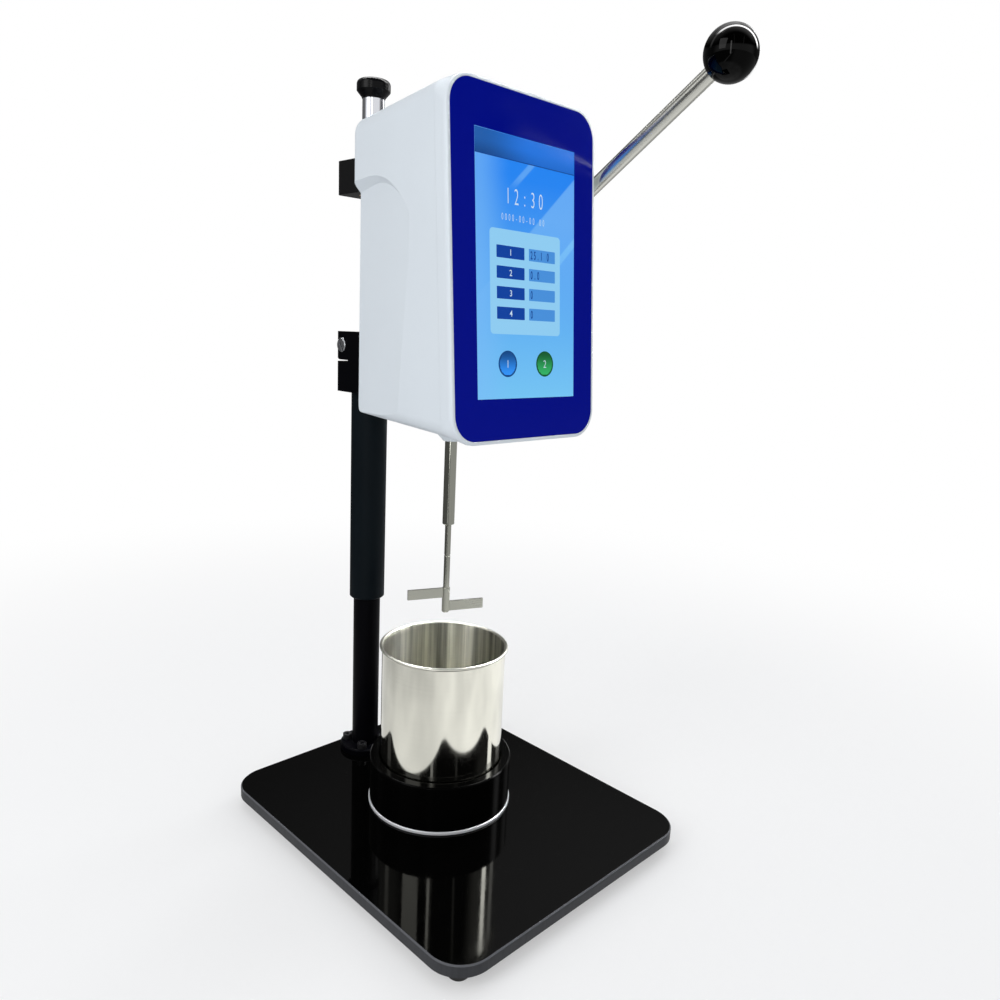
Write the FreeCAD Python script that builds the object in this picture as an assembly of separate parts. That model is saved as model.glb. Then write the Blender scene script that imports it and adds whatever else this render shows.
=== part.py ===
import FreeCAD, Part
import math
import os
from FreeCAD import Placement, Rotation, Vector

# Paint viscometer on a bench stand: a head with a touch display slides on a column
# when the side lever is pulled, and dips a turning paddle into a steel cup.
# Lengths are in millimetres and angles in degrees. While the pieces are made, X 0, Y 0
# is the middle of the base plate and Z 0 is the bench. The front is towards -Y.

# Base plate and feet
base_width = 209.0
base_depth = 249.0
base_thickness = 7.5
base_corner_radius = 22.0
base_edge_bevel = 0.8
foot_height = 8.0
foot_top_diameter = 14.0
foot_bottom_diameter = 12.6
foot_inset = 15.0
foot_recess_depth = 5.5
foot_recess_gap = 0.5
foot_bevel = 0.8

# Column
column_inset = 19.9
flange_diameter = 38.0
flange_height = 5.0
flange_bevel = 1.0
flange_screw_circle = 28.0
tube_diameter = 20.0
tube_top = 203.0
rod_diameter = 15.0
rod_top = 492.6
rod_in_tube_gap = 0.1
rod_bevel = 0.6
tube_bevel = 0.8
column_bolt_bite = 22.0
cap_diameter = 22.8
cap_neck_diameter = 15.9
cap_height = 11.6
cap_neck_height = 0.5
cap_flare_height = 4.0
cap_crown_radius = 3.0
cap_stud_diameter = 7.0
cap_stud_length = 12.0

# Cup and its holder
cup_to_column = 91.3
cup_diameter = 85.0
cup_wall = 0.8
cup_rim_z = 130.3
cup_rim_diameter = 88.4
cup_rim_bead = 2.2
cup_corner_radius = 3.0
cup_side_gap = 0.5
cup_seat_gap = 0.1
holder_diameter = 99.2
holder_height = 31.7
holder_pocket_depth = 10.0
holder_bevel = 0.8
holder_hollow_diameter = 40.0
holder_hollow_depth = 16.0
holder_screw_circle = 62.0
ring_diameter = 100.6
ring_inner_diameter = 80.0
ring_thickness = 2.0
ring_bevel = 0.5

# Head: panel, frame and housing
panel_width = 115.5
panel_length = 191.6
panel_thickness = 2.0
panel_corner_radius = 15.0
panel_lean = 4.57
panel_to_cup = 61.9
panel_z = 377.7
panel_gap = 0.1
rim_width = 2.2
frame_depth = 12.0
frame_side_flare = 1.9
frame_top_flare = 1.9
frame_bottom_flare = 4.3
frame_land = 3.0
frame_wall = 3.0
frame_web = 3.0
frame_front_rounding = 1.2
lip_depth = 7.0
frame_screw_x = 34.0
screen_width = 81.4
screen_length = 144.6
screen_sink = 0.2
screen_gap = 0.1
module_width = 86.0
module_length = 150.0
module_thickness = 5.0
module_gap = 0.3
shell_rear_to_column = 22.5
shell_rear_width = 63.0
shell_front_corner = 9.0
shell_rear_corner = 11.0
shell_rear_rounding = 5.0
shell_wall = 3.0
scoop_depth = 6.0
scoop_length = 85.0
scoop_top_z = 433.0
scoop_arc_radius = 79.0
scoop_arc_to_rear = 26.0
scoop_run_out = 20.0

# Boards behind the display
board_width = 101.6
board_length = 132.0
board_thickness = 1.6
board_post_side_inset = 3.8
board_post_end_inset = 6.0
board_post_diameter = 6.5
main_board_side_inset = 1.0
main_board_end_inset = 2.0
main_board_spacing = 12.0
spacer_across_flats = 5.5
chip_thickness = 1.4
board_stud_length = 5.0
board_screw_bite = 5.0

# Chassis
chassis_plate = 4.0
chassis_width = 40.0
chassis_bottom = 293.0
chassis_top = 460.0
cheek_rear_drop = 10.0
cheek_shoulder = 14.0
shelf_z = 317.0
shelf_front_to_cup = 22.3
cheek_inner_x = 10.0
cheek_front_to_cup = 20.2
cheek_top = 398.0

# Slide blocks and sleeve
block_width = 33.0
block_rear_to_column = 18.6
block_edge_radius = 3.0
upper_block_bottom = 430.0
upper_block_height = 22.0
lower_block_bottom = 295.0
lower_block_height = 42.5
bush_diameter = 18.0
bush_running_gap = 0.04
block_screw_spacing = 10.5
block_screw_bite = 9.0
block_screw_rise = 11.0
saw_slit_z = 317.0
saw_slit_width = 1.2
saw_slit_front_to_column = 3.9
pinch_slit_width = 1.6
pinch_corner_radius = 5.0
clamp_screw_to_column = 11.8
clamp_screw_z = 328.0
clamp_head_diameter = 10.0
clamp_head_height = 3.4
clamp_head_sink = 2.6
clamp_slot_width = 1.4
clamp_slot_depth = 1.4
clamp_slot_turn = 55.0
clamp_head_bevel = 0.5
clamp_screw_stop = 4.0
lower_block_bore_gap = 0.5
sleeve_diameter = 26.0
sleeve_gap = 0.4
sleeve_bottom = 140.3
sleeve_seat_depth = 16.0
sleeve_bevel = 0.8
slide_travel = 85.0

# Rack on the rod and sector gear
gear_module = 1.5
gear_teeth = 66
pressure_angle = 20.0
gear_backlash = 0.14
gear_face_width = 8.0
gear_hub_diameter = 22.0
gear_hub_width = 14.0
gear_teeth_ahead = 1
gear_teeth_behind = 19
gear_rim_depth = 7.0
gear_hole_diameter = 15.0
gear_clearance = 1.0
gear_root_depth = 1.875
gear_flank_steps = 4
gear_hole_spread = 0.34
gear_pin_diameter = 2.0
gear_pin_inset = 1.6
rack_flat_depth = 0.6
rack_run_out = 10.0
pivot_z = 374.9

# Lever
lever_x = 67.0
lever_angle = 34.2
lever_length = 214.0
lever_rod_diameter = 9.0
lever_hub_diameter = 24.0
lever_hub_width = 16.0
lever_hub_bevel = 1.2
lever_hub_cap = 3.0
ball_diameter = 30.0
lever_rod_seat_gap = 0.5
ball_bore_end = 2.0
hub_screw_diameter = 6.0
hub_screw_drive = 3.0
hub_screw_sink = 0.8
pivot_diameter = 10.0
pivot_left_end = 16.5
pivot_running_gap = 0.04
pivot_bush_diameter = 14.0
pivot_bush_length = 10.0
ring_groove_width = 1.0
ring_groove_depth = 0.5
ring_groove_inset = 1.0
retaining_ring_width = 3.0
retaining_ring_mouth = 4.0
shaft_screw_bite = 3.0
shaft_housing_diameter = 20.0
shaft_housing_flange = 32.0
shaft_housing_end_x = 58.0
shaft_housing_flange_thickness = 4.0
shaft_housing_bevel = 0.6
shaft_housing_hole_gap = 0.4
thrust_washer_thickness = 0.8
thrust_washer_play = 0.1

# Drive and spindle
spindle_diameter = 8.0
spindle_bottom = 215.0
spindle_top = 331.0
spindle_running_gap = 0.03
bearing_outer_diameter = 16.0
bearing_width = 5.0
bearing_housing_diameter = 24.0
bearing_cup_diameter = 33.0
bearing_cup_wall = 4.5
bearing_flange_diameter = 38.0
bearing_flange_thickness = 3.0
bearing_shoulder = 1.0
bearing_seat_rise = 2.0
bearing_lug_thickness = 4.0
nose_ring_diameter = 30.0
nose_ring_height = 12.0
nose_ring_rim = 1.5
nose_ring_tip = 0.6
nose_ring_gap = 0.6
nose_ring_spigot = 0.8
nose_hole_gap = 0.5
coupling_diameter = 18.0
coupling_length = 16.0
coupling_bottom = 326.0
motor_plate_z = 344.0
motor_plate_width = 44.0
motor_plate_depth = 28.0
motor_plate_thickness = 4.0
motor_screw_inset = 3.2
motor_screw_length = 8.0
motor_diameter = 32.0
motor_length = 46.0
motor_tail_length = 7.0
motor_tail_step = 1.2
motor_tail_bevel = 1.0
motor_shaft_bore = 12.0
motor_shaft_inside = 11.0
motor_shaft_diameter = 5.0
motor_shaft_drop = 10.0
motor_shaft_gap = 0.05
paddle_shaft_diameter = 4.2
paddle_shaft_inset = 24.0
paddle_span = 54.0
paddle_blade_height = 6.8
paddle_blade_thickness = 1.6
paddle_blade_gap = 3.0
paddle_blade_rise = 0.7
paddle_bottom = 153.3
paddle_turn = -22.0
mark_z = 193.5
mark_depth = 0.35
mark_width = 1.0
chuck_screw_z = 222.0
chuck_screw_diameter = 2.5
chuck_screw_sink = 0.2
chuck_screw_gap = 0.05
spindle_bevel = 0.5
paddle_sleeve_wall = 0.5

# Power inlet and switch in the underside
service_to_cup = 18.7
switch_x = 22.0
switch_bezel_width = 15.0
switch_bezel_length = 21.0
switch_bezel_height = 2.0
switch_depth = 18.0
switch_lip = 1.0
switch_corner_radius = 1.5
terminal_width = 4.8
terminal_thickness = 0.8
terminal_length = 8.0
terminal_spacing = 10.0
rocker_radius = 7.6
rocker_width = 9.0
rocker_gap = 0.25
rocker_facet = 4.6
rocker_throw = 16.0
rocker_pin_diameter = 2.0
rocker_pin_gap = 0.05
rocker_pin_reach = 1.2
rocker_rise = 2.0
inlet_x = -18.0
inlet_diameter = 10.0
inlet_length = 15.0
inlet_bore_diameter = 5.6
inlet_bore_depth = 10.0
inlet_pin_diameter = 2.0
inlet_nut_across_flats = 14.0
inlet_box_width = 12.0
inlet_pin_sink = 1.0
inlet_pin_root = 2.0

# Screws: thread diameter, head diameter, head height
m3_screw = (3.0, 5.6, 2.2)
m3_flat_screw = (3.0, 5.6, 1.4)
m4_socket_screw = (4.0, 7.0, 4.0)
m5_socket_screw = (5.0, 8.5, 5.0)
m5_flat_screw = (5.0, 9.2, 2.5)
m8_flat_screw = (8.0, 14.6, 4.2)
screw_bite = 6.0

# Sizes that follow from the ones above
column_y = base_depth / 2 - column_inset
cup_y = column_y - cup_to_column
spindle_y = cup_y
panel_y = cup_y - panel_to_cup
shell_rear_y = column_y - shell_rear_to_column
block_rear_y = column_y + block_rear_to_column
saw_slit_front_y = column_y + saw_slit_front_to_column
clamp_screw_y = column_y + clamp_screw_to_column
shelf_front_y = cup_y - shelf_front_to_cup
cheek_front_y = cup_y + cheek_front_to_cup
service_y = cup_y + service_to_cup
board_post_x = board_width / 2 - board_post_side_inset
board_post_v = board_length / 2 - board_post_end_inset
main_board_width = board_width - 2 * main_board_side_inset
main_board_length = board_length - 2 * main_board_end_inset
base_top = foot_height + base_thickness
holder_bottom = base_top + ring_thickness
cup_floor_z = base_top + holder_height - holder_pocket_depth + ring_thickness
cup_bottom = cup_floor_z + cup_seat_gap
lean = math.radians(panel_lean)
frame_half_width = panel_width / 2 + rim_width
frame_half_length = panel_length / 2 + rim_width
joint_half_width = frame_half_width - frame_side_flare
joint_top_v = frame_half_length - frame_top_flare
joint_bottom_v = -frame_half_length + frame_bottom_flare
shell_bottom = panel_z + joint_bottom_v * math.cos(lean) - frame_depth * math.sin(lean)
shell_top = panel_z + joint_top_v * math.cos(lean) - frame_depth * math.sin(lean)
inner_rear_y = shell_rear_y - shell_wall
inner_rear_width = shell_rear_width - 2 * (shell_wall + scoop_depth)
chassis_rear_front = inner_rear_y - chassis_plate
gear_pitch_radius = gear_module * gear_teeth / 2
gear_tip_radius = gear_pitch_radius + gear_module
gear_root_radius = gear_pitch_radius - gear_root_depth
gear_base_radius = gear_pitch_radius * math.cos(math.radians(pressure_angle))
rack_pitch = math.pi * gear_module
rack_tip_y = column_y - rod_diameter / 2 + rack_flat_depth
rack_pitch_y = rack_tip_y + gear_module
pivot_y = rack_pitch_y - gear_pitch_radius
cheek_outer_x = cheek_inner_x + chassis_plate
paddle_low_z = paddle_bottom + paddle_blade_rise
paddle_high_z = paddle_low_z + paddle_blade_height + paddle_blade_gap
paddle_top = paddle_high_z + paddle_blade_height
switch_z = shell_bottom
rocker_z = switch_z - switch_bezel_height + 2 * rocker_rise
shelf_top = shelf_z + chassis_plate
shaft_flange_x = cheek_outer_x + shaft_housing_flange_thickness
board_back = -panel_thickness - module_thickness - board_thickness
main_board_front = board_back - main_board_spacing

AXIS_X = Vector(1, 0, 0)
AXIS_Y = Vector(0, 1, 0)
AXIS_Z = Vector(0, 0, 1)


def cylinder(diameter, length, x, y, z, axis=AXIS_Z):
    return Part.makeCylinder(diameter / 2, length, Vector(x, y, z), axis)


def tube(outer, inner, length, x, y, z, axis=AXIS_Z):
    return cylinder(outer, length, x, y, z, axis).cut(cylinder(inner, length, x, y, z, axis))


def block(x0, x1, y0, y1, z0, z1):
    return Part.makeBox(x1 - x0, y1 - y0, z1 - z0, Vector(x0, y0, z0))


def fuse(shapes):
    whole = shapes[0].fuse(shapes[1:])
    return whole.removeSplitter()


def cut(shape, tools):
    return shape.cut(tools) if tools else shape


def edges_where(shape, test):
    return [edge for edge in shape.Edges if test(edge.BoundBox)]


def polygon_prism(points, direction):
    wire = Part.makePolygon([Vector(*point) for point in points] + [Vector(*points[0])])
    return Part.Face(wire).extrude(direction)


def turned(profile, x, y):
    """Solid of revolution about a vertical axis; the profile lists (radius, height) pairs."""
    points = [Vector(x + radius, y, height) for radius, height in profile]
    face = Part.Face(Part.makePolygon(points + [points[0]]))
    return face.revolve(Vector(x, y, 0), AXIS_Z, 360)


def turned_about_x(profile, y, z):
    """Solid of revolution about an axis along X; the profile lists (x, radius) pairs."""
    points = [Vector(along, y, z + radius) for along, radius in profile]
    face = Part.Face(Part.makePolygon(points + [points[0]]))
    return face.revolve(Vector(0, y, z), AXIS_X, 360)


def rounded_outline(x0, x1, y0, y1, radius, height=0.0):
    """Closed wire of a rectangle with round corners, in a plane of constant Z."""
    corners = [(x1 - radius, y1 - radius, 0), (x0 + radius, y1 - radius, 90),
               (x0 + radius, y0 + radius, 180), (x1 - radius, y0 + radius, 270)]
    edges = []
    for index, (cx, cy, start) in enumerate(corners):
        arc = Part.makeCircle(radius, Vector(cx, cy, height), AXIS_Z, start, start + 90)
        next_x, next_y, next_start = corners[(index + 1) % 4]
        turn = math.radians(next_start)
        here = arc.Vertexes[-1].Point
        there = Vector(next_x + radius * math.cos(turn), next_y + radius * math.sin(turn), height)
        edges.append(arc)
        edges.append(Part.makeLine(here, there))
    return Part.Wire(edges)


def rounded_plate(x0, x1, y0, y1, radius, z0, thickness):
    return Part.Face(rounded_outline(x0, x1, y0, y1, radius, z0)).extrude(Vector(0, 0, thickness))


def hexagon_prism(across_flats, length, x, y, z):
    radius = across_flats / math.sqrt(3)
    corners = []
    for corner in range(6):
        turn = math.radians(60 * corner)
        corners.append((x + radius * math.cos(turn), y + radius * math.sin(turn), z))
    return polygon_prism(corners, Vector(0, 0, length))


def turn_shape(shape, centre, axis, angle):
    copy = shape.copy()
    copy.rotate(centre, axis, angle)
    return copy


def around(shape, x, y, count, start=0.0):
    """Copies of a shape, evenly spaced about a vertical axis."""
    step = 360.0 / count
    return [turn_shape(shape, Vector(x, y, 0), AXIS_Z, start + step * index) for index in range(count)]


def mirrored(shape):
    return shape.mirror(Vector(0, 0, 0), AXIS_X)


def on_panel(shape):
    """Moves a shape made in panel coordinates (across, up, out of the front) to its place."""
    copy = shape.copy()
    place = Placement(Vector(0, panel_y, panel_z), Rotation(AXIS_X, 90 - panel_lean))
    copy.Placement = place.multiply(copy.Placement)
    return copy


def standing_screw(size, shank, x, y, z, socket=True):
    """Cylinder-head screw with its head on top; z is the seat under the head."""
    thread, head_diameter, head_height = size
    screw = fuse([cylinder(head_diameter, head_height, x, y, z), cylinder(thread, shank, x, y, z - shank)])
    if socket:
        drive = hexagon_prism(thread * 0.75, head_height * 0.55, x, y, z + head_height * 0.45)
        screw = screw.cut(drive)
    return screw


def flat_screw(size, length, x, y, z):
    """Countersunk screw that is driven upwards; z is the flush face of its head."""
    thread, head_diameter, head_height = size
    return turned([(0, z), (head_diameter / 2, z), (thread / 2, z + head_height),
                   (thread / 2, z + length), (0, z + length)], x, y)


def lying(shape, x, y, z):
    """Turns an upright screw made at the origin so that its head points to -Y."""
    copy = turn_shape(shape, Vector(0, 0, 0), AXIS_X, 90)
    copy.translate(Vector(x, y, z))
    return copy


# Stand

def foot_places():
    reach_x = base_width / 2 - foot_inset
    reach_y = base_depth / 2 - foot_inset
    return [(side * reach_x, end * reach_y) for side in (-1, 1) for end in (-1, 1)]


def foot_screw_at(x, y):
    screw = standing_screw(m4_socket_screw, foot_height - foot_recess_depth + screw_bite, 0, 0, 0)
    screw = turn_shape(screw, Vector(0, 0, 0), AXIS_X, 180)
    screw.translate(Vector(x, y, foot_recess_depth))
    return screw


def foot_screws():
    return [foot_screw_at(x, y) for x, y in foot_places()]


def rubber_feet():
    feet = []
    recess_diameter = m4_socket_screw[1] + 2 * foot_recess_gap
    low = foot_bottom_diameter / 2
    for x, y in foot_places():
        body = turned([(0, 0), (low - foot_bevel, 0), (low, foot_bevel),
                       (foot_top_diameter / 2, foot_height), (0, foot_height)], x, y)
        recess = cylinder(recess_diameter, foot_recess_depth, x, y, 0)
        hole = cylinder(m4_socket_screw[0], foot_height, x, y, 0)
        feet.append(body.cut([recess, hole]))
    return feet


def column_bolt():
    return [flat_screw(m8_flat_screw, base_thickness + column_bolt_bite, 0, column_y, foot_height)]


def flange_screws():
    screw = standing_screw(m4_socket_screw, flange_height + screw_bite,
                           flange_screw_circle / 2, column_y, base_top + flange_height)
    return around(screw, 0, column_y, 4, 45)


def holder_screws():
    screw = flat_screw(m5_flat_screw, base_thickness + ring_thickness + screw_bite,
                       holder_screw_circle / 2, cup_y, foot_height)
    return around(screw, 0, cup_y, 3, 90)


def base_plate():
    plate = rounded_plate(-base_width / 2, base_width / 2, -base_depth / 2, base_depth / 2,
                          base_corner_radius, foot_height, base_thickness)
    rim = edges_where(plate, lambda box: box.ZMin > base_top - 0.01)
    plate = plate.makeChamfer(base_edge_bevel, rim)
    return [plate.cut(foot_screws() + column_bolt() + flange_screws() + holder_screws())]


def column_flange():
    outer = flange_diameter / 2
    disc = turned([(tube_diameter / 2, base_top), (outer, base_top),
                   (outer, base_top + flange_height - flange_bevel),
                   (outer - flange_bevel, base_top + flange_height),
                   (tube_diameter / 2, base_top + flange_height)], 0, column_y)
    return [disc.cut(flange_screws())]


def column_tube():
    outer = tube_diameter / 2
    inner = rod_diameter / 2 + rod_in_tube_gap
    return [turned([(inner, base_top), (outer, base_top), (outer, tube_top - tube_bevel),
                    (outer - tube_bevel, tube_top), (inner, tube_top)], 0, column_y)]


def rack_tool():
    """What is removed from the front of the rod to leave the flat and the rack teeth."""
    low = pivot_z - slide_travel - rack_run_out
    high = pivot_z + rack_run_out
    half = rod_diameter
    tools = [block(-half, half, column_y - rod_diameter, rack_tip_y, low, high)]
    slope = math.tan(math.radians(pressure_angle))
    root_y = rack_pitch_y + gear_root_depth
    first = math.ceil((low - pivot_z) / rack_pitch + 0.5)
    last = math.floor((high - pivot_z) / rack_pitch - 0.5)
    for number in range(first, last + 1):
        middle = pivot_z + number * rack_pitch
        wide = rack_pitch / 4 + gear_backlash / 4 + gear_module * slope
        narrow = rack_pitch / 4 + gear_backlash / 4 - gear_root_depth * slope
        space = [(-half, rack_tip_y, middle - wide), (-half, root_y, middle - narrow),
                 (-half, root_y, middle + narrow), (-half, rack_tip_y, middle + wide)]
        tools.append(polygon_prism(space, Vector(2 * half, 0, 0)))
    return tools


def guide_rod():
    outer = rod_diameter / 2
    rod = turned([(0, base_top), (outer, base_top), (outer, rod_top - rod_bevel),
                  (outer - rod_bevel, rod_top), (0, rod_top)], 0, column_y)
    stud_hole = cylinder(cap_stud_diameter, cap_stud_length, 0, column_y, rod_top - cap_stud_length)
    return [rod.cut(rack_tool() + column_bolt() + [stud_hole])]


def rod_cap():
    neck = cap_neck_diameter / 2
    outer = cap_diameter / 2
    flare_top = rod_top + cap_neck_height + cap_flare_height
    top = rod_top + cap_height
    cap = turned([(0, rod_top), (neck, rod_top), (neck, rod_top + cap_neck_height), (outer, flare_top),
                  (outer, top), (0, top)], 0, column_y)
    crown = edges_where(cap, lambda box: box.ZMin > top - 0.01)
    cap = cap.makeFillet(cap_crown_radius, crown)
    stud = cylinder(cap_stud_diameter, cap_stud_length, 0, column_y, rod_top - cap_stud_length)
    return [fuse([cap, stud])]


def locating_ring():
    ring = tube(ring_diameter, ring_inner_diameter, ring_thickness, 0, cup_y, base_top)
    inside = ring_inner_diameter + ring_bevel
    edge = edges_where(ring, lambda box: box.ZMin > holder_bottom - 0.01 and box.XLength > inside)
    return [ring.makeChamfer(ring_bevel, edge)]


def cup_holder():
    outer = holder_diameter / 2
    top = holder_bottom + holder_height
    pocket = cup_diameter / 2 + cup_side_gap
    hollow = holder_hollow_diameter / 2
    hollow_top = base_top + holder_hollow_depth
    foot = ring_inner_diameter / 2
    body = turned([(hollow, base_top), (foot, base_top), (foot, holder_bottom),
                   (outer, holder_bottom), (outer, top - holder_bevel), (outer - holder_bevel, top),
                   (pocket + holder_bevel, top), (pocket, top - holder_bevel), (pocket, cup_floor_z),
                   (0, cup_floor_z), (0, hollow_top), (hollow, hollow_top)], 0, cup_y)
    return [body.cut(holder_screws())]


def sample_cup():
    outer = cup_diameter / 2
    inner = outer - cup_wall
    bead = cup_rim_bead / 2
    bead_z = cup_rim_z - bead
    corner = cup_corner_radius
    low = cup_bottom
    turn = math.sin(math.radians(45))

    def point(radius, height):
        return Vector(radius, cup_y, height)

    edges = [Part.makeLine(point(0, low), point(outer - corner, low)),
             Part.Arc(point(outer - corner, low),
                      point(outer - corner + corner * turn, low + corner - corner * turn),
                      point(outer, low + corner)).toShape(),
             Part.makeLine(point(outer, low + corner), point(outer, bead_z)),
             Part.makeLine(point(outer, bead_z), point(inner, bead_z)),
             Part.makeLine(point(inner, bead_z), point(inner, low + corner))]
    bend = corner - cup_wall
    edges += [Part.Arc(point(inner, low + corner),
                       point(inner - bend + bend * turn, low + corner - bend * turn),
                       point(inner - bend, low + cup_wall)).toShape(),
              Part.makeLine(point(inner - bend, low + cup_wall), point(0, low + cup_wall)),
              Part.makeLine(point(0, low + cup_wall), point(0, low))]
    wall = Part.Face(Part.Wire(edges)).revolve(Vector(0, cup_y, 0), AXIS_Z, 360)
    rim = Part.makeTorus(cup_rim_diameter / 2 - bead, bead, Vector(0, cup_y, bead_z), AXIS_Z)
    return [fuse([wall, rim])]


# Head: frame, panel and housing

def joint_outline(inset, out):
    """Outline of the housing parallel to the panel, at a distance out from the panel's front."""
    return rounded_outline(-joint_half_width + inset, joint_half_width - inset,
                           joint_bottom_v + inset, joint_top_v - inset, shell_front_corner - inset / 2, out)


def housing_loft(inset, rear_width, rear_y, rear_corner):
    front = on_panel(joint_outline(inset, -frame_depth))
    rear = rounded_outline(-rear_width / 2, rear_width / 2,
                           shell_bottom + inset, shell_top - inset, rear_corner)
    rear.Placement = Placement(Vector(0, rear_y, 0), Rotation(AXIS_X, 90))
    return Part.makeLoft([front, rear], True, True)


def cavity():
    return housing_loft(shell_wall, inner_rear_width, inner_rear_y, shell_rear_corner - shell_wall)


def scoop_outline(growth, depth):
    """Outline of the side hollow, grown outwards, in a plane parallel to the housing's side."""
    middle = scoop_arc_to_rear
    low = scoop_top_z - scoop_arc_radius
    radius = scoop_arc_radius + growth
    front = Vector(middle + radius, low, depth)
    top = Vector(middle, low + radius, depth)
    turn = math.sin(math.radians(45))
    between = Vector(middle + radius * turn, low + radius * turn, depth)
    corners = [top, Vector(-scoop_run_out, low + radius, depth), Vector(-scoop_run_out, 0, depth),
               Vector(middle + radius, 0, depth), front]
    edges = [Part.Arc(front, between, top).toShape()]
    edges += [Part.makeLine(start, end) for start, end in zip(corners, corners[1:])]
    return Part.Wire(edges)


def side_scoop():
    """Shallow hollow in the lower rear of a side, deepest at the rear, with a sloped shoulder.

    It is made in coordinates (forward from the rear, up, into the side)."""
    reach = 2 * scoop_depth
    shoulder = Part.makeLoft([scoop_outline(reach, -reach), scoop_outline(-reach, reach)], True, True)
    rear_depth = scoop_depth * (1 + scoop_run_out / scoop_length)
    wedge = polygon_prism([(scoop_length, 0, 0), (-scoop_run_out, 0, rear_depth),
                           (-scoop_run_out, 0, -reach), (scoop_length, 0, -reach)],
                          Vector(0, scoop_top_z + reach, 0))
    hollow = shoulder.common(wedge)
    front_y = panel_y + frame_depth * math.cos(lean)
    forward = Vector(joint_half_width - shell_rear_width / 2, front_y - shell_rear_y, 0).normalize()
    turned_in = Rotation(forward, AXIS_Z, forward.cross(AXIS_Z), "XYZ")
    hollow.Placement = Placement(Vector(shell_rear_width / 2, shell_rear_y, 0), turned_in)
    return hollow


def gear_room():
    """Round slot that the sector gear turns in, through the rear wall and what stands behind it."""
    radius = gear_tip_radius + gear_clearance
    half = gear_face_width / 2 + gear_clearance
    return cylinder(2 * radius, 2 * half, -half, pivot_y, pivot_z, AXIS_X)


def frame_screws():
    screws = []
    bite = shell_wall + frame_wall
    out = -frame_depth - lip_depth / 2
    for side in (-1, 1):
        x = side * frame_screw_x
        low = on_panel(Part.Vertex(Vector(x, joint_bottom_v, out))).Point
        high = on_panel(Part.Vertex(Vector(x, joint_top_v, out))).Point
        screws.append(flat_screw(m3_flat_screw, bite, x, low.y, shell_bottom))
        above = flat_screw(m3_flat_screw, bite, 0, 0, 0)
        above = turn_shape(above, Vector(0, 0, 0), AXIS_X, 180)
        above.translate(Vector(x, high.y, shell_top))
        screws.append(above)
    return screws


def block_screw_holes():
    length = chassis_plate + shell_wall + block_screw_bite
    reach = block_screw_spacing / 2
    return [cylinder(m5_socket_screw[0], length, side * reach, chassis_rear_front, z, AXIS_Y)
            for side in (-1, 1) for z in block_screw_heights()]


def block_screw_heights():
    return [upper_block_bottom + upper_block_height / 2, lower_block_bottom + block_screw_rise]


def block_screws():
    shank = chassis_plate + shell_wall + block_screw_bite
    model = standing_screw(m5_socket_screw, shank, 0, 0, 0)
    return [lying(model, side * block_screw_spacing / 2, chassis_rear_front, z)
            for side in (-1, 1) for z in block_screw_heights()]


def housing_shell():
    shell = housing_loft(0.0, shell_rear_width, shell_rear_y, shell_rear_corner)
    rear_edges = edges_where(shell, lambda box: box.YMin > shell_rear_y - 0.01)
    shell = shell.makeFillet(shell_rear_rounding, rear_edges)
    scoop = side_scoop()
    shell = shell.cut([scoop, mirrored(scoop)])
    boss_hole = cylinder(shaft_housing_diameter + 2 * shaft_housing_hole_gap, panel_width,
                         cheek_outer_x, pivot_y, pivot_z, AXIS_X)
    nose_hole = cylinder(bearing_housing_diameter + 2 * nose_hole_gap, 3 * shell_wall,
                         0, spindle_y, shell_bottom - shell_wall)
    half_w = switch_bezel_width / 2 - switch_lip
    half_l = switch_bezel_length / 2 - switch_lip
    switch_hole = block(switch_x - half_w, switch_x + half_w, service_y - half_l, service_y + half_l,
                        shell_bottom - shell_wall, shell_bottom + 2 * shell_wall)
    inlet_hole = cylinder(inlet_diameter, 3 * shell_wall, inlet_x, service_y, shell_bottom - shell_wall)
    return [shell.cut([cavity(), gear_room(), boss_hole, nose_hole, switch_hole, inlet_hole]
                      + block_screw_holes() + frame_screws())]


def frame_body():
    """Outer form of the front frame: a flat land at the front, then a flare down to the housing."""
    land_outline = rounded_outline(-frame_half_width, frame_half_width, -frame_half_length, frame_half_length,
                                   panel_corner_radius + rim_width, -frame_land)
    land = Part.Face(land_outline).extrude(Vector(0, 0, frame_land))
    front_edges = edges_where(land, lambda box: box.ZMin > -0.01)
    land = land.makeFillet(frame_front_rounding, front_edges)
    flare = Part.makeLoft([land_outline, joint_outline(0.0, -frame_depth)], True, True)
    return fuse([land, flare])


def spacer_places():
    return [(side * board_post_x, end * board_post_v) for side in (-1, 1) for end in (-1, 1)]


def board_holes(front):
    """Thread holes through a board at the four spacers, either way from the board's front."""
    return [cylinder(m3_screw[0], 4 * board_thickness, x, v, front - 2 * board_thickness)
            for x, v in spacer_places()]


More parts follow.
